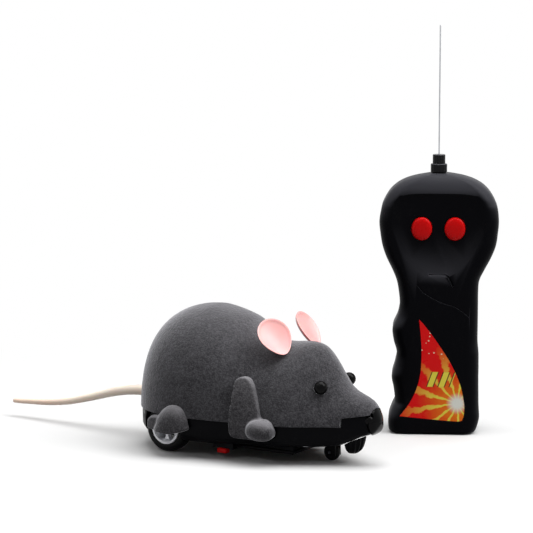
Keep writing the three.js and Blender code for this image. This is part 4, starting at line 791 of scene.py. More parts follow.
def make_finishes():
    colours = bpy.context.scene.toy_colours
    FINISH["pile"] = pile_group()
    FINISH["moulded"] = moulded_group()
    FINISH["brushed"] = brushed_group()
    FINISH["flock"] = flocked("flock_grey", tuple(colours.flock), tuple(colours.flock_tip))
    # The pads get a weak painted rim sheen and strong painted light on top
    FINISH["flock_pad"] = flocked(
        "flock_grey_pads", tone(36, 35, 38), tone(106, 104, 107), patch=230.0, painted_rim_sheen=0.25, painted_top_light=0.45
    )
    FINISH["black"] = moulded("black_gloss_plastic", tuple(colours.black), 0.32, dust=0.006, shine=0.035)
    # The handset's and the collar's plastics get a painted sheen of light from above on faces that look up
    FINISH["handset"] = moulded(
        "handset_satin_plastic", tuple(colours.handset), 0.42, grain=2200.0, bump=0.016, dust=0.004,
        uneven=0.14, shine=0.03, painted_top_sheen=0.075,
    )
    FINISH["collar"] = moulded(
        "collar_plastic", tuple(colours.handset), 0.3, dust=0.02, shine=0.12, painted_top_sheen=0.1
    )
    FINISH["polished"] = moulded("black_bead", tone(4, 4, 5), 0.08, dust=0.0, uneven=0.03, shine=0.07)
    FINISH["tyre"] = moulded("tyre_rubber", tone(10, 10, 11), 0.62, grain=1400.0, bump=0.03, shine=0.12)
    FINISH["hub"] = moulded("silvery_plastic", tuple(colours.hub), 0.3, dust=0.02, metallic=0.2)
    FINISH["pin"] = metal("blackened_steel", tone(52, 52, 56), 0.3)
    FINISH["red"] = moulded("red_plastic", tuple(colours.red), 0.34, dust=0.0, shine=0.12)
    FINISH["white"] = moulded("natural_nylon", tone(232, 230, 222), 0.45, dust=0.05)
    FINISH["steel"] = metal("plain_steel", tone(186, 188, 192), 0.24)
    FINISH["wire"] = metal("antenna_wire", tone(176, 178, 182), 0.24)
    FINISH["copper"] = metal("coil_copper", tone(200, 120, 70), 0.3, (300.0, 2400.0, 300.0))
    FINISH["board"] = board_material("green_board")
    FINISH["sleeve"] = moulded("cell_sleeve", tone(40, 74, 140), 0.25, dust=0.02, coat=0.3)
    FINISH["band"] = moulded("cell_band", tone(214, 214, 210), 0.3, dust=0.02, coat=0.3)
    FINISH["chip"] = moulded("chip_resin", tone(26, 26, 28), 0.55, dust=0.05)
    FINISH["label"] = label_material("label_print", colours)


# The rat's body form


REAR_CENTRE = 8.2
NOSE_REACH = 97.0
SEAM_HEIGHT = 16.2
SEAM_TILT = math.radians(2)
PARTING_HEIGHT = 18.3
PARTING_TILT = math.radians(-0.35)
BACK_HEIGHT = 64.6
BELLY_HEIGHT = 5.0
FRONT_SHARES = (
    (0.065, 0.995, 0.995, 1.05, 0), (0.2, 0.952, 0.926, 1.07, 0.02), (0.267, 0.918, 0.849, 1.07, 0.04),
    (0.334, 0.862, 0.767, 1.07, 0.07), (0.39, 0.802, 0.709, 1.07, 0.11), (0.446, 0.752, 0.692, 1.07, 0.15),
    (0.49, 0.752, 0.69, 1.07, 0.17), (0.53, 0.768, 0.695, 1.065, 0.19), (0.572, 0.754, 0.7, 1.06, 0.23),
    (0.614, 0.706, 0.697, 1.055, 0.28), (0.67, 0.62, 0.663, 1.05, 0.35), (0.726, 0.518, 0.564, 1.05, 0.41),
    (0.771, 0.436, 0.444, 1.035, 0.41), (0.805, 0.388, 0.352, 1, 0.35), (0.838, 0.346, 0.295, 0.88, 0.26),
    (0.872, 0.308, 0.26, 0.75, 0.18), (0.917, 0.26, 0.224, 0.62, 0.14), (0.95, 0.214, 0.182, 0.54, 0.1),
    (0.982, 0.13, 0.094, 0.34, 0.05),
)
REAR_FULLNESS = 0.72
BACK_POWER = 2 / 2.25
BELLY_POWER = 2 / 5


def seam_at(x):
    return SEAM_HEIGHT + x * math.tan(SEAM_TILT)


REAR_STEPS = 22


def body_rows(inset):
    """Stations of (x, half width, height over the seam, depth under it, narrowing) from tail to nose."""
    radius = bpy.context.scene.rat_sizes.body_radius / MM
    tall, deep = BACK_HEIGHT - SEAM_HEIGHT, SEAM_HEIGHT - BELLY_HEIGHT
    r, top, belly = radius - inset, tall - inset, deep - inset
    rows = []
    for i in range(REAR_STEPS + 1):
        turn = (i / REAR_STEPS) * QUARTER
        swell = math.sin(turn)
        x = REAR_CENTRE - r * math.cos(turn)
        rows.append((x, r * swell, top * swell**REAR_FULLNESS, belly * math.sqrt(swell), 0))
    reach = NOSE_REACH - inset - REAR_CENTRE
    front = [rows[-1]]
    for along, width, high, low, narrow in FRONT_SHARES:
        x = REAR_CENTRE + along * reach
        front.append((x, width * radius - inset, high * tall - inset, low * deep - inset, narrow))
    front.append((NOSE_REACH - inset, 0, 0, 0, 0))
    return rows[:-1] + flow(front, 4)


def body_form(inset, fine=96):
    """The rat's body drawn in by an inset all round, or swollen where the inset is under 0."""
    rows = body_rows(inset)

    def place(u, v):
        x, width, top, belly, narrow = at(rows, u)
        level = seam_at(x)
        turn = v * FULL
        across, up = math.cos(turn), math.sin(turn)
        sign = 1 if across >= 0 else -1
        if up >= 0:
            high = up**BACK_POWER
            y = width * sign * abs(across) ** BACK_POWER * (1 - narrow * high)
            return Vector((x, y, level + top * high))
        y = width * sign * abs(across) ** BELLY_POWER
        return Vector((x, y, level - belly * abs(up) ** BELLY_POWER))

    return skin(len(rows) - 1, fine, place)


def under_seam():
    """Everything under the parting line."""
    bm = block(-WIDE, WIDE, -WIDE, WIDE, -WIDE, 0)
    bmesh.ops.rotate(bm, cent=(0, 0, 0), matrix=Matrix.Rotation(-PARTING_TILT, 3, "Y"), verts=bm.verts)
    bmesh.ops.translate(bm, vec=(0, 0, PARTING_HEIGHT), verts=bm.verts)
    return bm


LIP_START = 82.2
LIP_RISE = 2.6
LIP_TILT = math.radians(9)


def under_lip():
    """The part of the muzzle that is black, ahead of the lip's corner."""
    foot = seam_at(LIP_START) + LIP_RISE
    reach = NOSE_REACH + 10
    tall = foot + (reach - LIP_START) * math.tan(LIP_TILT)
    return prism([(LIP_START, 0), (reach, 0), (reach, tall), (LIP_START, foot)], -WIDE, WIDE)


SIDES = (("left", 1), ("right", -1))
WHEEL_HEIGHT = 10.6
WHEEL_ACROSS = 22.3
WHEEL_ROOM, WHEEL_GAP = 11.8, 0.7


def wheel_room(side):
    """The space kept free round one rear wheel."""
    reach = WHEEL_ACROSS + bpy.context.scene.rat_sizes.tyre_width / MM / 2 + WHEEL_GAP
    start, end = sorted((0, side * reach))
    return rod("y", WHEEL_ROOM, start, end, 0, WHEEL_HEIGHT)


NOSE_BALL = (95.6, 0, 19.6)
NOSE_BALL_RADIUS = 6.3
EYE_PLACE = (73.2, 12.2, 34.7)
TAIL_ROOT_X = -22.6
TAIL_HEIGHT = 20.8


class TOY_OT_shell(bpy.types.Operator):
    """Flocked upper shell of the rat, hollow, cut along the parting line and the lip"""

    bl_idname = "toy.rat_shell"
    bl_label = "Flocked Shell"

    def execute(self, context):
        sizes = context.scene.rat_sizes
        wall = sizes.shell_wall / MM
        steps = [("cut", body_form(wall, 64)), ("cut", under_seam()), ("cut", under_lip())]
        steps.append(("cut", ball(*NOSE_BALL, NOSE_BALL_RADIUS + SEAT)))
        for _, side in SIDES:
            x, y, z = EYE_PLACE
            steps.append(("cut", ball(x, side * y, z, sizes.eye_radius / MM + SEAT)))
            steps.append(("cut", wheel_room(side)))
        root = sizes.tail_root / MM
        steps.append(("cut", rod("x", root + SEAT, TAIL_ROOT_X - 12, TAIL_ROOT_X + 6, 0, TAIL_HEIGHT)))
        shell = carve("flocked_shell", RAT, body_form(0), *steps)
        edge(shell, 0.45, 40, 3)
        finish(shell, FINISH["flock"], "rat_body", "flock", "upper_shell", angle=42)
        return {"FINISHED"}


LEG_SHARES = (
    (0.045, 0.93), (0.1, 0.987), (0.17, 1), (0.265, 0.97), (0.36, 0.87), (0.44, 0.71), (0.52, 0.52),
    (0.585, 0.36), (0.71, 0.35), (0.83, 0.31), (0.9, 0.228), (0.93, 0.14), (0.88, 0.065), (0.74, 0.014),
    (0.519, 0), (0.266, 0.007), (0.084, 0.025), (0.014, 0.105), (0, 0.24), (0.01, 0.45), (0.035, 0.73),
)
FOOT_SHARES = (
    (0.064, 0.298), (0.094, 0.473), (0.168, 0.649), (0.267, 0.802), (0.406, 0.939), (0.55, 1),
    (0.693, 0.985), (0.822, 0.878), (0.896, 0.718), (0.955, 0.527), (0.985, 0.321), (1, 0.198),
    (0.847, 0.099), (0.644, 0.015), (0.431, 0), (0.208, 0.008), (0, 0.038),
)
LOBE_SHARES = (
    (0.047, 0), (0, 0.31), (0.039, 0.648), (0.164, 0.873), (0.336, 1), (0.539, 0.986), (0.883, 0.817),
    (1, 0.465), (0.922, 0.141), (0.492, 0.028),
)


LEG_LEFT, LEG_WIDTH, LEG_BOTTOM, LEG_HEIGHT = 37.1, 22.5, 11.2, 26.9
LEG = dict(
    shares=LEG_SHARES, box=(LEG_LEFT, LEG_WIDTH, LEG_BOTTOM, LEG_HEIGHT),
    centre=(LEG_LEFT + LEG_WIDTH / 2, LEG_BOTTOM + LEG_HEIGHT / 2), reach=LEG_WIDTH / 2, inner=16, outer=34,
    rounding=2.4, rings=6, proud=2.6,
)
DOME = dict(
    shares=FOOT_SHARES, box=(-1.4, 19, 10.9, 13.1), centre=(8.9, 10.9), reach=8.7, inner=20, outer=37.1,
    rounding=6.0, rings=9, proud=4.6,
)
LOBE = dict(
    shares=LOBE_SHARES, box=(-6.3, 17.5, 11.2, 7.1), centre=(4.5, 11.2), reach=8.7, inner=20, outer=34.9,
    rounding=5, rings=9, proud=2.1,
)
PAW_PLACE = (51.2, 27.2, 15.8)
PAW_LONG, PAW_ROUND = 6.7, 4.8
PAW_SOLE, PAW_SPREAD = 11.4, 0.22
PILE_GRID = 0.42


def pad(name, side, shares, box, centre, reach, inner, outer, rounding, rings, proud):
    """A cushioned outline on one side of the body, no more than so far proud of the body's surface."""
    start, end = sorted((side * inner, side * outer))
    shape = cushion(outline(shares, *box), centre, reach, start, end, rounding, rings)
    return carve(name, RAT, shape, ("keep", body_form(-proud)))


def toes(side):
    """The ball of a paw, spread towards its sole."""
    x, y, z = PAW_PLACE
    bm = ball(x, side * y, z, PAW_LONG, PAW_ROUND, PAW_ROUND)
    for vert in bm.verts:
        drop = (z - vert.co.z) / PAW_ROUND
        if drop > 0:
            vert.co.x = x + (vert.co.x - x) * (1 + PAW_SPREAD * drop)
    return bm


class TOY_OT_limbs(bpy.types.Operator):
    """Flocked front legs with their paws and hind feet over the wheels, on the body's surface"""

    bl_idname = "toy.rat_limbs"
    bl_label = "Legs and Feet"

    def execute(self, context):
        for name, side in SIDES:
            slab = pad(f"leg_slab_{name}", side, **LEG)
            paw = carve(f"paw_{name}", RAT, toes(side), ("keep", block(0, 90, -WIDE, WIDE, PAW_SOLE, 60)))
            leg = join_pieces(f"flocked_leg_{name}", slab, paw)
            soften(leg, PILE_GRID, 6)
            cut_back(leg, RAT, body_form(-SEAT))
            finish(leg, FINISH["flock_pad"], "rat_body", "flock", f"front_leg_{name}", angle=60)

            dome = pad(f"foot_dome_{name}", side, **DOME)
            lobe = pad(f"foot_lobe_{name}", side, **LOBE)
            foot = join_pieces(f"flocked_foot_{name}", dome, lobe)
            soften(foot, PILE_GRID, 10)
            cut_back(foot, RAT, body_form(-SEAT), wheel_room(side))
            finish(foot, FINISH["flock_pad"], "rat_body", "flock", f"hind_foot_{name}", angle=60)
        return {"FINISHED"}


JAW_X, JAW_FOOT, JAW_HEIGHT = 82.4, 4.5, 9.5
JAW_RADIUS, JAW_FLUTES, FLUTE_SHARE = 5.7, 14, 0.06
JAW_ROWS = ((0, 0.26), (0.06, 0.45), (0.2, 0.7), (0.45, 0.87), (0.72, 0.965), (1, 1))


def jaw_form():
    """A fluted bowl, closed at both ends."""
    rows = flow(JAW_ROWS, 4)

    def place(u, v):
        if u < 0.04:
            return Vector((JAW_X, 0, JAW_FOOT))
        if u > 0.96:
            return Vector((JAW_X, 0, JAW_FOOT + JAW_HEIGHT))
        high, reach = at(rows, (u - 0.04) / 0.92)
        turn = v * FULL
        radius = JAW_RADIUS * reach * (1 + FLUTE_SHARE * math.cos(turn * JAW_FLUTES))
        z = JAW_FOOT + high * JAW_HEIGHT
        return Vector((JAW_X + radius * math.cos(turn), radius * math.sin(turn), z))

    return skin(26, 168, place)


def bead(radius, x, y, z, side):
    """An eye's bead, round in front and flatter behind."""
    bm = turned("y", [
        (0, -radius * 1.05), (radius * 0.35, -radius * 1.0), (radius * 0.7, -radius * 0.72),
        *[(radius * math.cos(i / 5), radius * math.sin(i / 5)) for i in range(-3, 8)], (0, radius),
    ], x, z, 48)
    if side < 0:
        bmesh.ops.scale(bm, vec=(1, -1, 1), verts=bm.verts)
        bmesh.ops.recalc_face_normals(bm, faces=bm.faces)
    bmesh.ops.translate(bm, vec=(0, side * y, 0), verts=bm.verts)
    return bm


class TOY_OT_face(bpy.types.Operator):
    """Nose with its nostrils and folds, the bead eyes and the fluted jaw"""

    bl_idname = "toy.rat_face"
    bl_label = "Nose, Eyes and Jaw"

    def execute(self, context):
        steps = [("keep", ball(*NOSE_BALL, NOSE_BALL_RADIUS, sides=96))]
        for _, side in SIDES:
            steps.append(("cut", ball(93.4, side * 5.0, 22.9, 1.9)))
            steps.append(("add", ball(92.6, side * 3.6, 20.8, 2.5)))
        nose = carve("nose_tip", RAT, body_form(0.05), *steps)
        edge(nose, 0.25, 40, 3)
        finish(nose, FINISH["polished"], "rat_body", "nose_black", "nose", angle=45)
        radius = context.scene.rat_sizes.eye_radius / MM
        for name, side in SIDES:
            eye = as_object(f"bead_eye_{name}", bead(radius, *EYE_PLACE, side), RAT)
            finish(eye, FINISH["polished"], "rat_body", "nose_black", f"eye_{name}", angle=60)
        jaw = carve(
            "fluted_jaw", RAT, jaw_form(), ("cut", body_form(0.45)),
            ("keep", block(81.1, 97, -12, 12, 0, 14)),
        )
        edge(jaw, 0.2, 50)
        finish(jaw, FINISH["black"], "rat_body", "black_plastic", "jaw", angle=50)
        return {"FINISHED"}


EARS = (("left", 1, 56.42, math.radians(6)), ("right", -1, 55.53, math.radians(-37)))
EAR_ACROSS, EAR_HEIGHT = 12.91, 47.9
EAR_LEAN, EAR_SPLAY = math.radians(-37), math.radians(16)
EAR_DISH, EAR_ROLL, EAR_THICK = 1.7, 0.16, 1.15


def ear_form(tall, wide):
    """A dished ear with a rolled rim, upright on its root."""

    def place(u, v):
        share = math.sin((1 - abs(2 * u - 1)) * math.pi / 2)
        angle = v * FULL
        up = 0.5 + 0.5 * math.sin(angle) * share
        narrow = 1 - 0.35 * (1 - up) ** 2
        dish = EAR_DISH * (1 - share**2)
        roll = EAR_ROLL * math.exp(-(((share - 0.93) / 0.06) ** 2))
        thick = EAR_THICK * math.sqrt(max(0, 1 - share**10))
        deep = -dish + roll * (1 if u < 0.5 else -0.4) - (0 if u < 0.5 else thick)
        return Vector((deep, wide / 2 * share * math.cos(angle) * narrow, tall * up))

    return skin(40, 72, place)


class TOY_OT_ears(bpy.types.Operator):
    """Dished vinyl ears with a rolled rim"""

    bl_idname = "toy.rat_ears"
    bl_label = "Ears"

    def execute(self, context):
        sizes = context.scene.rat_sizes
        colours = context.scene.toy_colours
        tall, wide = sizes.ear_length / MM, sizes.ear_width / MM
        for name, side, foot_x, turn in EARS:
            ear = ear_form(tall, wide)
            lean = (
                Matrix.Translation((foot_x, side * EAR_ACROSS, EAR_HEIGHT))
                @ Matrix.Rotation(turn, 4, "Z")
                @ Matrix.Rotation(EAR_LEAN, 4, "Y")
                @ Matrix.Rotation(-side * EAR_SPLAY, 4, "X")
            )
            bmesh.ops.transform(ear, matrix=lean, verts=ear.verts)
            piece = carve(f"vinyl_ear_{name}", RAT, ear, ("cut", body_form(-SEAT)))
            centre = RAT @ lean @ Vector((-1.5, 0, tall * 0.3))
            pink = vinyl(
                f"ear_vinyl_{name}", tuple(colours.ear), tuple(colours.ear_deep), centre * MM, 0.012
            )
            finish(piece, pink, "rat_body", "ear_pink", f"ear_{name}", angle=55)
        return {"FINISHED"}


TAIL_DROP = (
    (0, 0), (0.1, 0.01), (0.18, 0.06), (0.25, 0.14), (0.32, 0.25), (0.39, 0.38), (0.46, 0.51), (0.53, 0.63),
    (0.6, 0.74), (0.67, 0.82), (0.74, 0.88), (0.8, 0.92), (0.87, 0.95), (0.94, 0.98), (1, 1),
)


TAIL_REACH, TAIL_END_HEIGHT = 84.4, 7.4
TAIL_START, TAIL_ROUND = 0.03, 0.96


def tail_form(root, tip):
    """The tail from its root to a rounded tip, with faint rings along it."""
    drop = TAIL_HEIGHT - TAIL_END_HEIGHT
    path = flow(TAIL_DROP, 8)

    def ring(x, down, radius, v):
        angle = v * FULL
        return Vector((x, radius * math.cos(angle), TAIL_HEIGHT - drop * down + radius * math.sin(angle)))

    def place(u, v):
        if u == 0:
            return Vector((TAIL_ROOT_X + 3, 0, TAIL_HEIGHT))
        if u < TAIL_START:
            return ring(TAIL_ROOT_X + 3, 0, root, v)
        share, down = at(path, min(1, (u - TAIL_START) / (TAIL_ROUND - TAIL_START)))
        radius = (root + (tip - root) * share) * (1 + 0.012 * math.sin(share * 190))
        if u == 1:
            radius = 0
        over = max(0, (u - TAIL_ROUND) / (1 - TAIL_ROUND)) * QUARTER
        return ring(
            TAIL_ROOT_X - share * TAIL_REACH - tip * math.sin(over), down, radius * math.cos(over), v
        )

    return skin(200, 28, place)


class TOY_OT_tail(bpy.types.Operator):
    """Tapered vinyl tail that droops behind the rat, with its flange inside the shell"""

    bl_idname = "toy.rat_tail"
    bl_label = "Tail"

    def execute(self, context):
        sizes = context.scene.rat_sizes
        root, tip = sizes.tail_root / MM, sizes.tail_tip / MM
        flange = rod("x", root + 1.3, TAIL_ROOT_X + 1.2, TAIL_ROOT_X + 3.2, 0, TAIL_HEIGHT)
        tail = carve("vinyl_tail", RAT, tail_form(root, tip), ("add", flange))
        middle = (RAT @ Vector((TAIL_ROOT_X - 80, 0, 8))) * MM
        flesh = tuple(context.scene.toy_colours.tail)
        pink = vinyl("tail_vinyl", flesh, tone(255, 220, 198), middle, 0.05)
        finish(tail, pink, "rat_body", "tail_pink", "tail", angle=50)
        return {"FINISHED"}


HUB_HOLES = 5
CASTOR_X, CASTOR_HEIGHT = 71.8, 3.8


def tyre_form(radius, hub_radius, half):
    """A tyre about y with rounded shoulders and a flat tread."""
    shoulder = [
        (hub_radius + SEAT, 0.3), (hub_radius + SEAT + 0.3, 0), (radius - 1.9, 0), (radius - 1.7, 0.12),
        (radius - 1.0, 0.3), (radius - 0.35, 1.0), (radius - 0.08, 2.0),
    ]
    profile = [(r, step - half) for r, step in shoulder]
    profile += [(radius, -0.9), (radius, 0.9)]
    profile += [(r, half - step) for r, step in reversed(shoulder)]
    return turned("y", profile, 0, WHEEL_HEIGHT, 72)


def hub_form(radius, half):
    """A dished hub about y with a boss at its back."""
    back, dish, blind = half - 6.4, half - 1.6, half - 2.7
    return turned("y", [
        (0, blind), (1.55, blind), (1.55, back), (2.5, back), (2.5, blind - 1.1),
        (radius - 1.1, blind - 1.1), (radius - 1.1, back), (radius, back), (radius, half),
        (radius - 0.9, half), (radius - 1.3, half - 0.5), (radius - 2.1, dish), (2.5, dish),
        (2.1, dish + 0.5), (1.4, half - 0.8), (0, half - 0.8),
    ], 0, 0, 72)


class TOY_OT_wheels(bpy.types.Operator):
    """Rubber tyres on silvery hubs with five holes, and the castor's wheel"""

    bl_idname = "toy.wheels"
    bl_label = "Wheels"

    def execute(self, context):
        sizes = context.scene.rat_sizes
        radius, hub_radius = sizes.tyre_radius / MM, sizes.hub_radius / MM
        half = sizes.tyre_width / MM / 2
        for name, side in SIDES:
            tyre = tyre_form(radius, hub_radius, half)
            bmesh.ops.translate(tyre, vec=(0, side * WHEEL_ACROSS, 0), verts=tyre.verts)
            piece = as_object(f"rubber_tyre_{name}", tyre, RAT)
            finish(piece, FINISH["tyre"], "rear_wheel_set", "tyre_rubber", f"tyre_{name}", angle=50)
            holes = []
            out = (hub_radius + 1.25) / 2
            for i in range(HUB_HOLES):
                angle = ((i + 0.25) / HUB_HOLES) * FULL
                hole = rod("y", 1.8, -9, 9, out * math.cos(angle), out * math.sin(angle), 32)
                holes.append(("cut", hole))
            turn = Matrix.Rotation(0 if side > 0 else math.pi, 4, "Z")
            place = RAT @ Matrix.Translation((0, side * WHEEL_ACROSS, WHEEL_HEIGHT)) @ turn
            piece = carve(f"silvery_hub_{name}", place, hub_form(hub_radius, half), *holes)
            edge(piece, 0.18, 35)
            finish(piece, FINISH["hub"], "rear_wheel_set", "hub_silver", f"wheel_hub_{name}")
        shoulder = [(1.0, 1.4), (2.6, 1.4), (2.8, 1.25), (3.3, 1.2), (3.65, 0.85), (3.8, 0.4)]
        profile = [(r, -y) for r, y in shoulder] + list(reversed(shoulder))
        piece = as_object("castor_roller", turned("y", profile, CASTOR_X, CASTOR_HEIGHT, 48), RAT)
        finish(piece, FINISH["tyre"], "castor_roller", "tyre_rubber", "castor_wheel", angle=40)
        return {"FINISHED"}


class TOY_OT_chassis(bpy.types.Operator):
    """Black chassis and battery door, the castor's fork and pin, and the switch's knob"""

    bl_idname = "toy.chassis"
    bl_label = "Chassis"

    def execute(self, context):
        dressed("chassis", FINISH["black"], "rat_body", "black_plastic", 0.12, 32)
        dressed("battery_door", FINISH["black"], "rat_body", "black_plastic", 0.35)
        dressed("castor_fork", FINISH["black"], "castor_swivel_body", "black_plastic", 0.15)
        dressed("castor_pin", FINISH["pin"], "castor_swivel_body", "steel", 0.12)
        dressed("switch_knob", FINISH["red"], "switch_slider", "red_plastic", 0.4)
        return {"FINISHED"}


THREAD_PITCH = 0.8
HANDSET_SCREW = 9.0


def screw(name, axis, radius, head, head_height, body, node):
    """A pan headed screw with a cross recess, its thread as rings. Its head is down, or at the back."""
    low, high = (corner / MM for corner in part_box(node))
    middle = (low + high) / 2
    tall = high.z - low.z if axis == "z" else HANDSET_SCREW + head_height
    core = radius * 0.86
    profile = [
        (0, 0), (head * 0.7, 0), (head * 0.92, head_height * 0.2), (head, head_height * 0.55),
        (head, head_height), (core, head_height),
    ]
    for i in range(int((tall - head_height - 1.2) / THREAD_PITCH)):
        base = head_height + 0.2 + i * THREAD_PITCH
        profile += [(core, base), (radius, base + 0.3), (core, base + 0.6)]
    profile += [(radius * 0.8, tall - 0.9), (0, tall)]
    arm, half, deep = head * 0.62, 0.28, head_height * 0.6
    cross = [
        ("cut", block(-arm, arm, -half, half, -1, deep)),
        ("cut", block(-half, half, -arm, arm, -1, deep)),
    ]
    if axis == "z":
        place = Matrix.Translation((middle.x, middle.y, low.z))
    else:
        along = HANDSET.to_3x3() @ Vector((0, 1, 0))
        place = (
            Matrix.Translation(middle + along * (tall / 2))
            @ Matrix.Rotation(HANDSET_TURN, 4, "Z")
            @ Matrix.Rotation(QUARTER, 4, "X")
        )
    piece = carve(name, place, turned("z", profile, steps=32), *cross)
    finish(piece, FINISH["steel"], body, "steel", node, angle=30)


class TOY_OT_screws(bpy.types.Operator):
    """Cross headed screws under the rat and in the handset's back"""

    bl_idname = "toy.screws"
    bl_label = "Screws"

    def execute(self, context):
        for i in range(1, 5):
            screw(f"belly_screw_{i}", "z", 1.1, 2.2, 1.3, "rat_body", f"body_screw_{i}")
        screw("door_tab_screw", "z", 1.0, 1.9, 0.9, "rat_body", "door_screw")
        for i in range(1, 4):
            screw(f"shell_screw_{i}", "y", 0.9, 1.9, 1.3, "handset_body", f"handset_screw_{i}")
        return {"FINISHED"}


CAN_LENGTH, CAN_RADIUS, CAN_FLAT = 22.2, 10, 7.55


class TOY_OT_drive(bpy.types.Operator):
    """Motor, gear train, axle and gearbox frame"""

    bl_idname = "toy.drive"
    bl_label = "Drive"

    def execute(self, context):
        low, high = (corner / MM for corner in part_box("motor"))
        x, z = (low.x + high.x) / 2, (low.z + high.z) / 2
        start, tip = low.y, high.y
        face = start + CAN_LENGTH
        can = turned("y", [
            (0, start), (2.4, start), (2.6, start + 0.5), (8.9, start + 0.5), (9.6, start + 1.0),
            (CAN_RADIUS, start + 1.6), (CAN_RADIUS, face - 0.9), (9.7, face - 0.3), (9.1, face), (0, face),
        ], x, z, 64)
        steps = [
            ("keep", block(x - 20, x + 20, start - 1, face + 1, z - CAN_FLAT, z + CAN_FLAT)),
            ("add", rod("y", 3.0, face - 0.3, face + 1.4, x, z)),
            ("add", rod("y", 0.75, face, tip, x, z, 24)),
        ]
        for side in (1, -1):
            steps.append(("cut", rod("y", 0.7, start - 1, start + 0.9, x + side * 5, z + side * 3, 24)))
        motor = carve("motor_can", WORLD, can, *steps)
        paint_faces(
            motor, (FINISH["steel"], FINISH["chip"]), lambda centre: 1 if centre.y < start + 1.2 else 0
        )
        edge(motor, 0.15, 35)
        finish(motor, FINISH["steel"], "rat_body", "steel", "motor")
        dressed("gearbox_frame", FINISH["white"], "rat_body", "white_plastic", 0.2)
        dressed("idler_shaft", FINISH["steel"], "rat_body", "steel", 0.12)
        dressed("rear_axle", FINISH["steel"], "rear_wheel_set", "steel", 0.15)
        dressed("axle_gear", FINISH["white"], "rear_wheel_set", "white_plastic", 0.06)
        dressed("idler_gear", FINISH["white"], "idler", "white_plastic", 0.06)
        dressed("motor_pinion", FINISH["steel"], "pinion", "steel", 0.05)
        return {"FINISHED"}


BAND_FROM, BAND_TO = 7.6, 5.9


def cell(name, axis, node, body, radius, nub, nub_height):
    """A dry cell with its sleeve, crimped ends and nub. The nub's end is where the CAD node is narrow."""
    low, high = (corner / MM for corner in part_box(node))
    middle = (low + high) / 2
    if axis == "x":
        first, last, a, b = low.x, high.x, middle.y, middle.z
    else:
        first, last, a, b = low.z, high.z, middle.x, middle.y

    def station(p):
        return p.x if axis == "x" else p.z

    def off(p):
        """Distance from the cell's axis."""
        return math.hypot(p.y - a, p.z - b) if axis == "x" else math.hypot(p.x - a, p.y - b)

    corners = [vert.co / MM for vert in frame["nodes"][node].data.vertices]
    top_reach = max(off(p) for p in corners if abs(station(p) - last) < 0.05)
    forward = top_reach < radius * 0.8
    tall = last - first
    body_end = tall - nub_height
    profile = [
        (0, 0.25), (radius * 0.72, 0.25), (radius * 0.78, 0), (radius - 0.35, 0), (radius, 0.35),
        (radius, 2.0), (radius, body_end - 7.5), (radius, body_end - 6.0), (radius, body_end - 0.4),
        (radius - 0.4, body_end), (radius * 0.72, body_end), (radius * 0.7, body_end - 0.3),
        (nub + 0.4, body_end - 0.3), (nub, body_end), (nub, tall - 0.25), (nub - 0.3, tall), (0, tall),
    ]
    if not forward:
        profile = [(r, tall - h) for r, h in reversed(profile)]
    profile = [(r, first + h) for r, h in profile]
    shape = as_object(name, turned(axis, profile, a, b, 56), WORLD)

    def choose(centre):
        along = station(centre) - first if forward else last - station(centre)
        if off(centre) < radius * 0.93 or along < 1.2 or along > body_end - 0.2:
            return 1
        return 2 if body_end - BAND_FROM < along < body_end - BAND_TO else 0

    paint_faces(shape, (FINISH["sleeve"], FINISH["steel"], FINISH["band"]), choose)
    finish(shape, FINISH["sleeve"], body, "cell_sleeve", node, angle=30)


class TOY_OT_power(bpy.types.Operator):
    """Cells, contacts, boards and switches inside the rat and the handset"""

    bl_idname = "toy.power"
    bl_label = "Cells and Boards"

    def execute(self, context):
        for i in range(1, 4):
            cell(f"small_cell_{i}", "x", f"rat_cell_{i}", "rat_body", 5.2, 1.9, 0.9)
        for i in range(1, 3):
            cell(f"large_cell_{i}", "z", f"handset_cell_{i}", "handset_body", 7.1, 2.7, 1.0)
        for node in ("rear_contacts", "front_contacts"):
            dressed(node, FINISH["steel"], "rat_body", "steel", 0.1)
        for node in ("handset_lower_contacts", "handset_upper_contacts"):
            dressed(node, FINISH["steel"], "handset_body", "steel", 0.1)
        dressed("power_switch", FINISH["steel"], "rat_body", "steel", 0.15)
        for name in ("right", "left"):
            dressed(f"button_switch_{name}", FINISH["steel"], "handset_body", "steel", 0.12)

        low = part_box("receiver_board")[0] / MM
        parts = [FINISH[key] for key in ("board", "steel", "chip", "copper")]

        def receiver_part(centre):
            if centre.z < low.z + 1.45:
                return 0
            return 1 if centre.x < low.x + 8 else 2 if centre.x < low.x + 22 else 3

        board = dressed("receiver_board", FINISH["board"], "rat_body", "board_green", 0.08)
        paint_faces(board, parts, receiver_part)
        back = HANDSET.inverted()

        def transmitter_part(centre):
            own = back @ centre
            if own.y < 12.25:
                return 0
            return 1 if own.x < -2 else 2

        board = dressed("transmitter_board", FINISH["board"], "handset_body", "board_green", 0.08)
        paint_faces(board, parts, transmitter_part)
        return {"FINISHED"}


# The handset's form


HANDSET_ROWS = (
    (0, -0.7, 0.54), (0.004, -0.76, 0.61), (0.014, -0.805, 0.668), (0.057, -0.812, 0.72),
    (0.097, -0.755, 0.715), (0.124, -0.708, 0.71), (0.172, -0.726, 0.707), (0.219, -0.762, 0.703),
    (0.266, -0.711, 0.703), (0.314, -0.679, 0.699), (0.361, -0.733, 0.68), (0.409, -0.751, 0.68),
    (0.456, -0.668, 0.68), (0.503, -0.635, 0.68), (0.55, -0.653, 0.68), (0.593, -0.69, 0.695),
    (0.634, -0.763, 0.778), (0.681, -0.864, 0.886), (0.727, -0.933, 0.964), (0.774, -0.969, 0.995),
    (0.82, -0.987, 1.01), (0.868, -0.955, 0.99), (0.891, -0.922, 0.956), (0.913, -0.871, 0.906),
    (0.937, -0.8, 0.832), (0.96, -0.69, 0.722), (0.978, -0.55, 0.582), (0.99, -0.39, 0.43),
    (0.997, -0.25, 0.29), (1, -0.16, 0.2),
)
EDGE_ACROSS, EDGE_DEEP = 5.5, 7.0
CROWN, CROWN_DRAW, FOOT_ROUND = 12.0, 7.5, 1.4
PARTING = 13.0
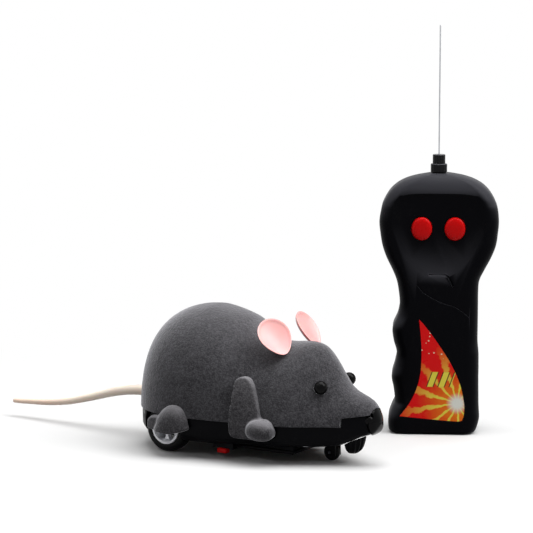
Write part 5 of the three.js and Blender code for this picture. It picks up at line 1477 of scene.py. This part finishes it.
PANEL_SINK = 1.0
PANEL_BOTTOM, PANEL_HEIGHT, PANEL_HALF = 76.0, 35.6, 19
PANEL_SHARES = (
    (0.2, 0), (0.5, 0.1), (0.78, 0.28), (0.96, 0.52), (1, 0.72), (0.93, 0.9), (0.68, 0.985), (0, 1),
    (-0.68, 0.985), (-0.93, 0.9), (-1, 0.72), (-0.96, 0.52), (-0.78, 0.28), (-0.5, 0.1), (-0.2, 0),
)
LABEL_SHARES = (
    (0, 0.042), (0.39, 0.021), (0.724, 0.004), (0.94, 0), (0.985, 0.03), (1, 0.07), (1, 0.18),
    (0.936, 0.362), (0.81, 0.543), (0.645, 0.712), (0.424, 0.904), (0.29, 1), (0.321, 0.818),
    (0.333, 0.649), (0.317, 0.466), (0.253, 0.307), (0.15, 0.172),
)
LABEL_LEFT, LABEL_WIDTH, LABEL_BOTTOM, LABEL_HEIGHT, LABEL_SINK = -17.4, 30.4, 6.3, 48.4, 0.6
LABEL_CORNERS = (0, 11)
BUTTON_X, BUTTON_Z, BUTTON_STRETCH = 7.6, 96.5, 1.13
SCREW_PLACES = ((-16, 108.4), (16, 108.4), (0.9, 73.6))


def handset_form(inset, fine=20):
    """The handset's outer form, or the same drawn in all round."""
    sizes = bpy.context.scene.handset_sizes
    tall = sizes.height / MM - inset * 2
    half = sizes.half_width / MM
    rows = flow(HANDSET_ROWS, 5)
    last = len(rows) - 1
    arc, flat = 0.17, 0.08  # shares of the way round for each corner and each side

    def place(u, v):
        if u == 0 or u == 1:
            return Vector((0.6, HANDSET_DEPTH / 2, inset + (tall if u else 0)))
        high, left_share, right_share = at(rows, (u * (last + 2) - 1) / last)
        z = inset + high * tall
        under = min(1, max(0, (z - inset - (tall - CROWN)) / CROWN))
        low = max(0, 1 - (z - inset) / FOOT_ROUND)
        draw = inset + CROWN_DRAW * (1 - math.sqrt(1 - under**2)) + FOOT_ROUND * low**2
        left, right = left_share * half + inset, right_share * half - inset
        across = min(EDGE_ACROSS - inset / 2, (right - left) / 3)
        deep = min(EDGE_DEEP - inset / 2, HANDSET_DEPTH / 2 - draw - inset / 2)
        back = HANDSET_DEPTH - draw
        corners = ((right - across, back - deep), (left + across, back - deep),
                   (left + across, draw + deep), (right - across, draw + deep))
        side = v * 4 % 4
        corner = int(side)
        share = (side - corner) / (arc * 4)
        x, y = corners[corner]
        if share <= 1:
            turn = (corner + share) * QUARTER
            return Vector((x + across * math.cos(turn), y + deep * math.sin(turn), z))
        turn = (corner + 1) * QUARTER
        nx, ny = corners[(corner + 1) % 4]
        share = (side - corner - arc * 4) / (flat * 4)
        start = Vector((x + across * math.cos(turn), y + deep * math.sin(turn), z))
        end = Vector((nx + across * math.cos(turn), ny + deep * math.sin(turn), z))
        return start.lerp(end, share)

    return skin(last + 2, fine * 4, place)


def front_plate(shares, left, width, bottom, height, start, end, corners=()):
    return prism(outline(shares, left, width, bottom, height, corners), start, end)


def panel_form(start, end):
    """The cutter of the sunk panel, with a sloping wall."""
    middle = PANEL_BOTTOM + PANEL_HEIGHT / 2
    bm = front_plate(PANEL_SHARES, 0, PANEL_HALF, PANEL_BOTTOM, PANEL_HEIGHT, start, end)
    grow = 1 + 0.1 * (end - start) / end
    for vert in bm.verts:
        if vert.co.y < end - 0.1:
            vert.co.x *= grow
            vert.co.z = middle + (vert.co.z - middle) * grow
    return bm


GROOVE = ((-4.0, 75.2), (3.6, 75.1), (5.1, 74.0), (7.0, 69.8))
CREASE = ((-9.4, 70.2), (-6.6, 67.0), (-2.1, 64.2), (1.6, 62.4), (7.9, 60.5), (11.6, 58.2), (14.9, 55.4))


def groove_cut(low, high, width, depth):
    """One stretch of a shallow groove in the handset's front."""
    run = math.hypot(high[0] - low[0], high[1] - low[1])
    bm = rod("x", width, -0.2, run + 0.2, 0, 0, 16)
    bmesh.ops.scale(bm, vec=(1, depth / width, 1), verts=bm.verts)
    turn = math.atan2(high[1] - low[1], high[0] - low[0])
    bmesh.ops.rotate(bm, cent=(0, 0, 0), matrix=Matrix.Rotation(-turn, 3, "Y"), verts=bm.verts)
    bmesh.ops.translate(bm, vec=(low[0], 0, low[1]), verts=bm.verts)
    return bm


def button_hole(side, radius, start, end):
    bm = rod("y", radius, start, end, 0, 0, 56)
    bmesh.ops.scale(bm, vec=(1, 1, BUTTON_STRETCH), verts=bm.verts)
    bmesh.ops.translate(bm, vec=(side * BUTTON_X, 0, BUTTON_Z), verts=bm.verts)
    return bm


def antenna_hole():
    tall = bpy.context.scene.handset_sizes.height / MM
    return rod("z", 3.3, tall - 9, tall + 6, 0, PARTING)


# Reach of the handset's cutters past its outline

SIDEWAYS, UNDER, OVER, BEHIND, BEFORE = 80, -6, 200, 40, -6

# The well for the cells, the cover over it, and the posts and tubes of the screws

GRIP_CENTRE = 0.9
WELL_HALF, WELL_WALL, WELL_BOTTOM = 14.65, 1.2, 9.2
WELL_TOP = WELL_BOTTOM + 49.6 + 1 + 1.8 + 2.2
COVER_DEPTH, COVER_BOTTOM, COVER_TOP = 2.3, 9.3, WELL_TOP + 2.4
COVER_RIBS, RIB_STEP = 5, 2.2
POST_RADIUS, POST_BORE, TUBE_RADIUS, TUBE_BORE = 2.7, 1.2, 3.2, 2.2


class TOY_OT_handset(bpy.types.Operator):
    """Front and back shells of the handset and its battery cover"""

    bl_idname = "toy.handset"
    bl_label = "Handset Shells"

    def execute(self, context):
        sizes = context.scene.handset_sizes
        wall = sizes.wall / MM
        self.front_shell(wall, sizes.button_radius / MM)
        self.back_shell(wall)
        self.battery_cover()
        return {"FINISHED"}

    def front_shell(self, wall, button):
        floor = PANEL_SINK + wall
        panel_wall = front_plate(
            PANEL_SHARES, 0, PANEL_HALF + wall, PANEL_BOTTOM - wall, PANEL_HEIGHT + wall * 2,
            PANEL_SINK, floor,
        )
        label_recess = front_plate(
            LABEL_SHARES, LABEL_LEFT, LABEL_WIDTH, LABEL_BOTTOM, LABEL_HEIGHT,
            BEFORE, LABEL_SINK, LABEL_CORNERS,
        )
        steps = [("cut", handset_form(wall, 10)), ("add", panel_wall)]
        for x, z in SCREW_PLACES:
            steps.append(("add", rod("y", POST_RADIUS, wall / 2, PARTING - SEAT, x, z)))
        steps += [
            ("keep", block(-SIDEWAYS, SIDEWAYS, BEFORE, PARTING - SEAT / 2, UNDER, OVER)),
            ("cut", panel_form(-1.0, PANEL_SINK)), ("cut", label_recess), ("cut", antenna_hole()),
        ]
        for low, high in zip(GROOVE, GROOVE[1:]):
            steps.append(("cut", groove_cut(low, high, 0.55, 0.9)))
        for low, high in zip(CREASE, CREASE[1:]):
            steps.append(("cut", groove_cut(low, high, 0.28, 0.3)))
        for side in (1, -1):
            steps.append(("cut", button_hole(side, button + 0.35, BEFORE, floor + 2)))
        for x, z in SCREW_PLACES:
            steps.append(("cut", rod("y", POST_BORE, 6.8, HANDSET_DEPTH, x, z)))
        shell = carve("handset_front_shell", HANDSET, handset_form(0), *steps)
        edge(shell, 0.3, 34, 3)
        finish(shell, FINISH["handset"], "handset_body", "handset_plastic", "handset_front", angle=34)

    def back_shell(self, wall):
        well_block = block(
            GRIP_CENTRE - WELL_HALF - WELL_WALL, GRIP_CENTRE + WELL_HALF + WELL_WALL, PARTING + SEAT,
            HANDSET_DEPTH, WELL_BOTTOM - WELL_WALL, WELL_TOP + WELL_WALL,
        )
        shell = carve("handset_back_shell", HANDSET, handset_form(0), ("cut", handset_form(wall, 10)))
        well = carve("well", HANDSET, well_block, ("keep", handset_form(wall / 2)))
        join_pieces("handset_back_shell", shell, well)
        for i, (x, z) in enumerate(SCREW_PLACES):
            post = rod("y", TUBE_RADIUS, PARTING + SEAT / 2, HANDSET_DEPTH, x, z)
            tube = carve(f"tube_{i}", HANDSET, post, ("keep", handset_form(wall / 2)))
            join_pieces("handset_back_shell", shell, tube)
        seat = HANDSET_DEPTH - COVER_DEPTH - SEAT
        cuts = [
            block(-SIDEWAYS, SIDEWAYS, -20, PARTING + SEAT / 2, UNDER, OVER),
            block(GRIP_CENTRE - WELL_HALF, GRIP_CENTRE + WELL_HALF, 0, BEHIND, WELL_BOTTOM, WELL_TOP),
            block(-SIDEWAYS, SIDEWAYS, seat, BEHIND, COVER_BOTTOM - 0.6, COVER_TOP + SEAT), antenna_hole(),
        ]
        for x, z in SCREW_PLACES:
            cuts += [rod("y", TUBE_BORE, 16.4, BEHIND, x, z), rod("y", POST_BORE, 0, HANDSET_DEPTH, x, z)]
        cut_back(shell, HANDSET, *cuts)
        edge(shell, 0.3, 34, 3)
        finish(shell, FINISH["handset"], "handset_body", "handset_plastic", "handset_back", angle=34)

    def battery_cover(self):
        inner = HANDSET_DEPTH - COVER_DEPTH
        steps = [("keep", block(-SIDEWAYS, SIDEWAYS, inner, BEHIND, COVER_BOTTOM, COVER_TOP))]
        for i in range(COVER_RIBS):
            z = COVER_TOP - 9 - i * RIB_STEP
            steps.append(("cut", rod("x", 0.7, -7, 7, HANDSET_DEPTH + 0.35, z, 16)))
        cover = carve("battery_cover", HANDSET, handset_form(0), *steps)
        edge(cover, 0.35, 34, 3)
        finish(
            cover, FINISH["handset"], "handset_door", "handset_plastic", "handset_battery_cover", angle=34
        )


STEM_RADIUS, STEM_END = 1.33, 4.9


class TOY_OT_buttons(bpy.types.Operator):
    """Red buttons with a soft dome, their flanges and stems"""

    bl_idname = "toy.buttons"
    bl_label = "Buttons"

    def execute(self, context):
        sizes = context.scene.handset_sizes
        radius = sizes.button_radius / MM
        crown = PANEL_SINK - sizes.button_proud / MM
        flange = PANEL_SINK + sizes.wall / MM + SEAT
        profile = [
            (0, crown - 0.06), (radius * 0.3, crown - 0.04), (radius * 0.58, crown + 0.04),
            (radius * 0.8, crown + 0.2), (radius * 0.92, crown + 0.45), (radius * 0.985, crown + 0.8),
            (radius, crown + 1.2), (radius, flange), (radius + 1.2, flange), (radius + 1.2, flange + 1.0),
            (STEM_RADIUS, flange + 1.0), (STEM_RADIUS, STEM_END), (0, STEM_END),
        ]
        for name, side in (("right", 1), ("left", -1)):
            dome = turned("y", profile, 0, 0, 64)
            bmesh.ops.scale(dome, vec=(1, 1, BUTTON_STRETCH), verts=dome.verts)
            bmesh.ops.translate(dome, vec=(side * BUTTON_X, 0, BUTTON_Z), verts=dome.verts)
            piece = as_object(f"push_button_{name}", dome, HANDSET)
            finish(piece, FINISH["red"], f"{name}_button", "red_plastic", f"button_{name}", angle=40)
        return {"FINISHED"}


class TOY_OT_label(bpy.types.Operator):
    """Printed label in its recess"""

    bl_idname = "toy.label"
    bl_label = "Label"

    def execute(self, context):
        plate = front_plate(
            LABEL_SHARES, LABEL_LEFT + SEAT, LABEL_WIDTH - SEAT * 2, LABEL_BOTTOM + SEAT,
            LABEL_HEIGHT - SEAT * 2, 0.02, LABEL_SINK - SEAT, LABEL_CORNERS,
        )
        piece = as_object("printed_label", plate, HANDSET)
        edge(piece, 0.06, 40)
        finish(piece, FINISH["label"], "handset_body", "label_print", "label", angle=30)
        return {"FINISHED"}


RIBS, RIB_SHARE, RIB_CHAMFER = 14, 0.05, 0.25


def ribbed(radius, start, end):
    """A short ribbed cylinder on the antenna's axis, with both ends chamfered."""
    lower, upper = start + RIB_CHAMFER, end - RIB_CHAMFER
    levels = (start, start, lower, lower, (start + end) / 2, upper, upper, end, end)

    def place(u, v):
        if u == 0 or u == 1:
            return Vector((0, PARTING, end if u else start))
        step = round(u * 8)
        wave = min(1, 1.6 * abs(math.cos(v * math.pi * RIBS)))
        r = radius * (1 - RIB_SHARE + RIB_SHARE * wave) - (RIB_CHAMFER if step in (1, 7) else 0)
        return Vector((r * math.cos(v * FULL), PARTING + r * math.sin(v * FULL), levels[step]))

    return skin(8, RIBS * 12, place)


COLLAR_STEP = 4.0


class TOY_OT_antenna(bpy.types.Operator):
    """Ribbed collar in two steps, and the antenna's wire"""

    bl_idname = "toy.antenna"
    bl_label = "Antenna"

    def execute(self, context):
        sizes = context.scene.handset_sizes
        tall = sizes.height / MM
        low, high = (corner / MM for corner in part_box("antenna_collar"))
        step = tall + SEAT + COLLAR_STEP
        collar = carve(
            "ribbed_collar", HANDSET, ribbed(3.8, tall + SEAT, step),
            ("add", ribbed(2.9, step - 0.5, high.z)),
            ("add", rod("z", 3.0, tall - 2.6, tall + 1, 0, PARTING)),
            ("add", rod("z", 3.9, low.z, low.z + 1.0, 0, PARTING)),
            ("cut", rod("z", 0.8, high.z - 8, high.z + 2, 0, PARTING, 24)),
        )
        edge(collar, 0.12, 40)
        finish(collar, FINISH["collar"], "handset_body", "black_plastic", "antenna_collar", angle=40)
        low, high = (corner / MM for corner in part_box("antenna"))
        radius = sizes.antenna_radius / MM
        wire = turned("z", [
            (0, low.z), (radius, low.z), (radius, high.z - radius), (radius * 0.7, high.z - radius * 0.3),
            (0, high.z),
        ], 0, PARTING, 24)
        piece = as_object("antenna_wire", wire, HANDSET)
        finish(piece, FINISH["wire"], "handset_body", "steel", "antenna", angle=40)
        return {"FINISHED"}


FLOOR_REACH = 4.0
FLOOR_LEVEL, FLOOR_SHOWN = 0.25, 0.47
FADE_FROM, FADE_TO = 0.17, 0.3
CAMERA_PLACE = (563.80, -826.24, 221.52)
CAMERA_AIM = (31.73, 8.94, 82.35)


def shown_rays(tree):
    """1 for rays from the camera, off something glossy or through something clear, else 0."""
    path = tree.nodes.new("ShaderNodeLightPath")
    seen = calc(tree, "MAXIMUM", path.outputs["Is Camera Ray"], path.outputs["Is Transmission Ray"])
    return calc(tree, "MAXIMUM", seen, path.outputs["Is Glossy Ray"])


def floor_material():
    """White paper that throws back less light than it shows, and fades to plain white further off."""
    material = bpy.data.materials.new("floor_white")
    material.use_nodes = True
    tree = material.node_tree
    tree.nodes.clear()
    shown = shown_rays(tree)
    level = calc(tree, "MULTIPLY_ADD", shown, FLOOR_SHOWN, FLOOR_LEVEL)
    grey = tree.nodes.new("ShaderNodeCombineXYZ")
    for socket in grey.inputs:
        tree.links.new(level, socket)
    paper = tree.nodes.new("ShaderNodeBsdfDiffuse")
    tree.links.new(grey.outputs["Vector"], paper.inputs["Color"])
    away = tree.nodes.new("ShaderNodeVectorMath")
    away.operation = "DISTANCE"
    tree.links.new(tree.nodes.new("ShaderNodeTexCoord").outputs["Object"], away.inputs[0])
    away.inputs[1].default_value = tuple(Vector((AXLE.x + 60, AXLE.y + 30, 0)) * MM)
    beyond = times(tree, ramp(tree, away.outputs["Value"], FADE_FROM, FADE_TO), shown)
    white = tree.nodes.new("ShaderNodeEmission")
    either = tree.nodes.new("ShaderNodeMixShader")
    tree.links.new(beyond, either.inputs[0])
    tree.links.new(paper.outputs["BSDF"], either.inputs[1])
    tree.links.new(white.outputs["Emission"], either.inputs[2])
    output = tree.nodes.new("ShaderNodeOutputMaterial")
    tree.links.new(either.outputs["Shader"], output.inputs["Surface"])
    return material


def studio_world(strength):
    """A soft white surround that looks plain white where it is seen."""
    world = bpy.data.worlds.new("studio_world")
    world.use_nodes = True
    tree = world.node_tree
    tree.nodes.clear()
    mix = tree.nodes.new("ShaderNodeMixShader")
    tree.links.new(shown_rays(tree), mix.inputs[0])
    for socket, value in ((mix.inputs[1], strength), (mix.inputs[2], 1.0)):
        light = tree.nodes.new("ShaderNodeBackground")
        light.inputs["Color"].default_value = (1, 1, 1, 1)
        light.inputs["Strength"].default_value = value
        tree.links.new(light.outputs[0], socket)
    output = tree.nodes.new("ShaderNodeOutputWorld")
    tree.links.new(mix.outputs[0], output.inputs["Surface"])
    return world


class TOY_OT_stage(bpy.types.Operator):
    """Pale floor, soft studio light and the camera"""

    bl_idname = "toy.stage"
    bl_label = "Stage"

    def execute(self, context):
        scene = context.scene
        settings = scene.toy_stage
        bm = bmesh.new()
        bmesh.ops.create_grid(bm, x_segments=1, y_segments=1, size=FLOOR_REACH)
        mesh = bpy.data.meshes.new("studio_floor")
        bm.to_mesh(mesh)
        bm.free()
        floor = bpy.data.objects.new("studio_floor", mesh)
        scene.collection.objects.link(floor)
        mesh.materials.append(floor_material())
        scene.world = studio_world(settings.world)

        target = Vector((AXLE.x + 40, AXLE.y + 30, 50)) * MM
        for name, spot, strength, size in (
            ("key_light", (-0.7, -0.6, 1.1), settings.key, 0.7),
            ("fill_light", (0.95, 0.3, 1.0), settings.fill, 0.8),
            ("top_light", (0.1, 0.13, 1.35), settings.top, 1.2),
            ("spark_light", (0.1, -1.1, 0.8), settings.spark, 0.08),
        ):
            lamp = bpy.data.lights.new(name, "AREA")
            lamp.energy = strength
            lamp.size = size
            holder = bpy.data.objects.new(name, lamp)
            scene.collection.objects.link(holder)
            holder.location = target + Vector(spot)
            holder.rotation_euler = (target - holder.location).to_track_quat("-Z", "Y").to_euler()

        lens = bpy.data.cameras.new("photo_camera")
        lens.lens = settings.lens
        lens.sensor_width = 36
        lens.clip_start = 0.01
        camera = bpy.data.objects.new("photo_camera", lens)
        scene.collection.objects.link(camera)
        camera.location = (RAT @ Vector(CAMERA_PLACE)) * MM
        aim = (RAT @ Vector(CAMERA_AIM)) * MM
        camera.rotation_euler = (aim - camera.location).to_track_quat("-Z", "Y").to_euler()
        scene.camera = camera
        scene.view_settings.view_transform = "Standard"
        return {"FINISHED"}


BUILDERS = (
    TOY_OT_stage, TOY_OT_shell, TOY_OT_limbs, TOY_OT_face, TOY_OT_ears, TOY_OT_tail, TOY_OT_wheels,
    TOY_OT_chassis, TOY_OT_screws, TOY_OT_drive, TOY_OT_power, TOY_OT_handset, TOY_OT_buttons, TOY_OT_label,
    TOY_OT_antenna,
)


class TOY_PT_panel(bpy.types.Panel):
    """Sizes, colours and builders of the set"""

    bl_idname = "TOY_PT_panel"
    bl_label = "Rat Toy"
    bl_space_type = "VIEW_3D"
    bl_region_type = "UI"
    bl_category = "Toy"

    def draw(self, context):
        layout = self.layout
        scene = context.scene
        for settings in (scene.rat_sizes, scene.handset_sizes, scene.toy_colours, scene.toy_stage):
            box = layout.box()
            for name in settings.__annotations__:
                box.prop(settings, name)
        for builder in BUILDERS:
            layout.operator(builder.bl_idname)


CLASSES = (RatSizes, HandsetSizes, ToyColours, StageSettings, *BUILDERS, TOY_PT_panel)


def register():
    for cls in CLASSES:
        bpy.utils.register_class(cls)
    bpy.types.Scene.rat_sizes = PointerProperty(type=RatSizes)
    bpy.types.Scene.handset_sizes = PointerProperty(type=HandsetSizes)
    bpy.types.Scene.toy_colours = PointerProperty(type=ToyColours)
    bpy.types.Scene.toy_stage = PointerProperty(type=StageSettings)


def unregister():
    for name in ("rat_sizes", "handset_sizes", "toy_colours", "toy_stage"):
        delattr(bpy.types.Scene, name)
    for cls in reversed(CLASSES):
        bpy.utils.unregister_class(cls)


def main():
    register()
    make_finishes()
    bpy.ops.toy.stage()
    bpy.ops.toy.rat_shell()
    bpy.ops.toy.rat_limbs()
    bpy.ops.toy.rat_face()
    bpy.ops.toy.rat_ears()
    bpy.ops.toy.rat_tail()
    bpy.ops.toy.wheels()
    bpy.ops.toy.chassis()
    bpy.ops.toy.screws()
    bpy.ops.toy.drive()
    bpy.ops.toy.power()
    bpy.ops.toy.handset()
    bpy.ops.toy.buttons()
    bpy.ops.toy.label()
    bpy.ops.toy.antenna()


if __name__ == "__main__":
    main()
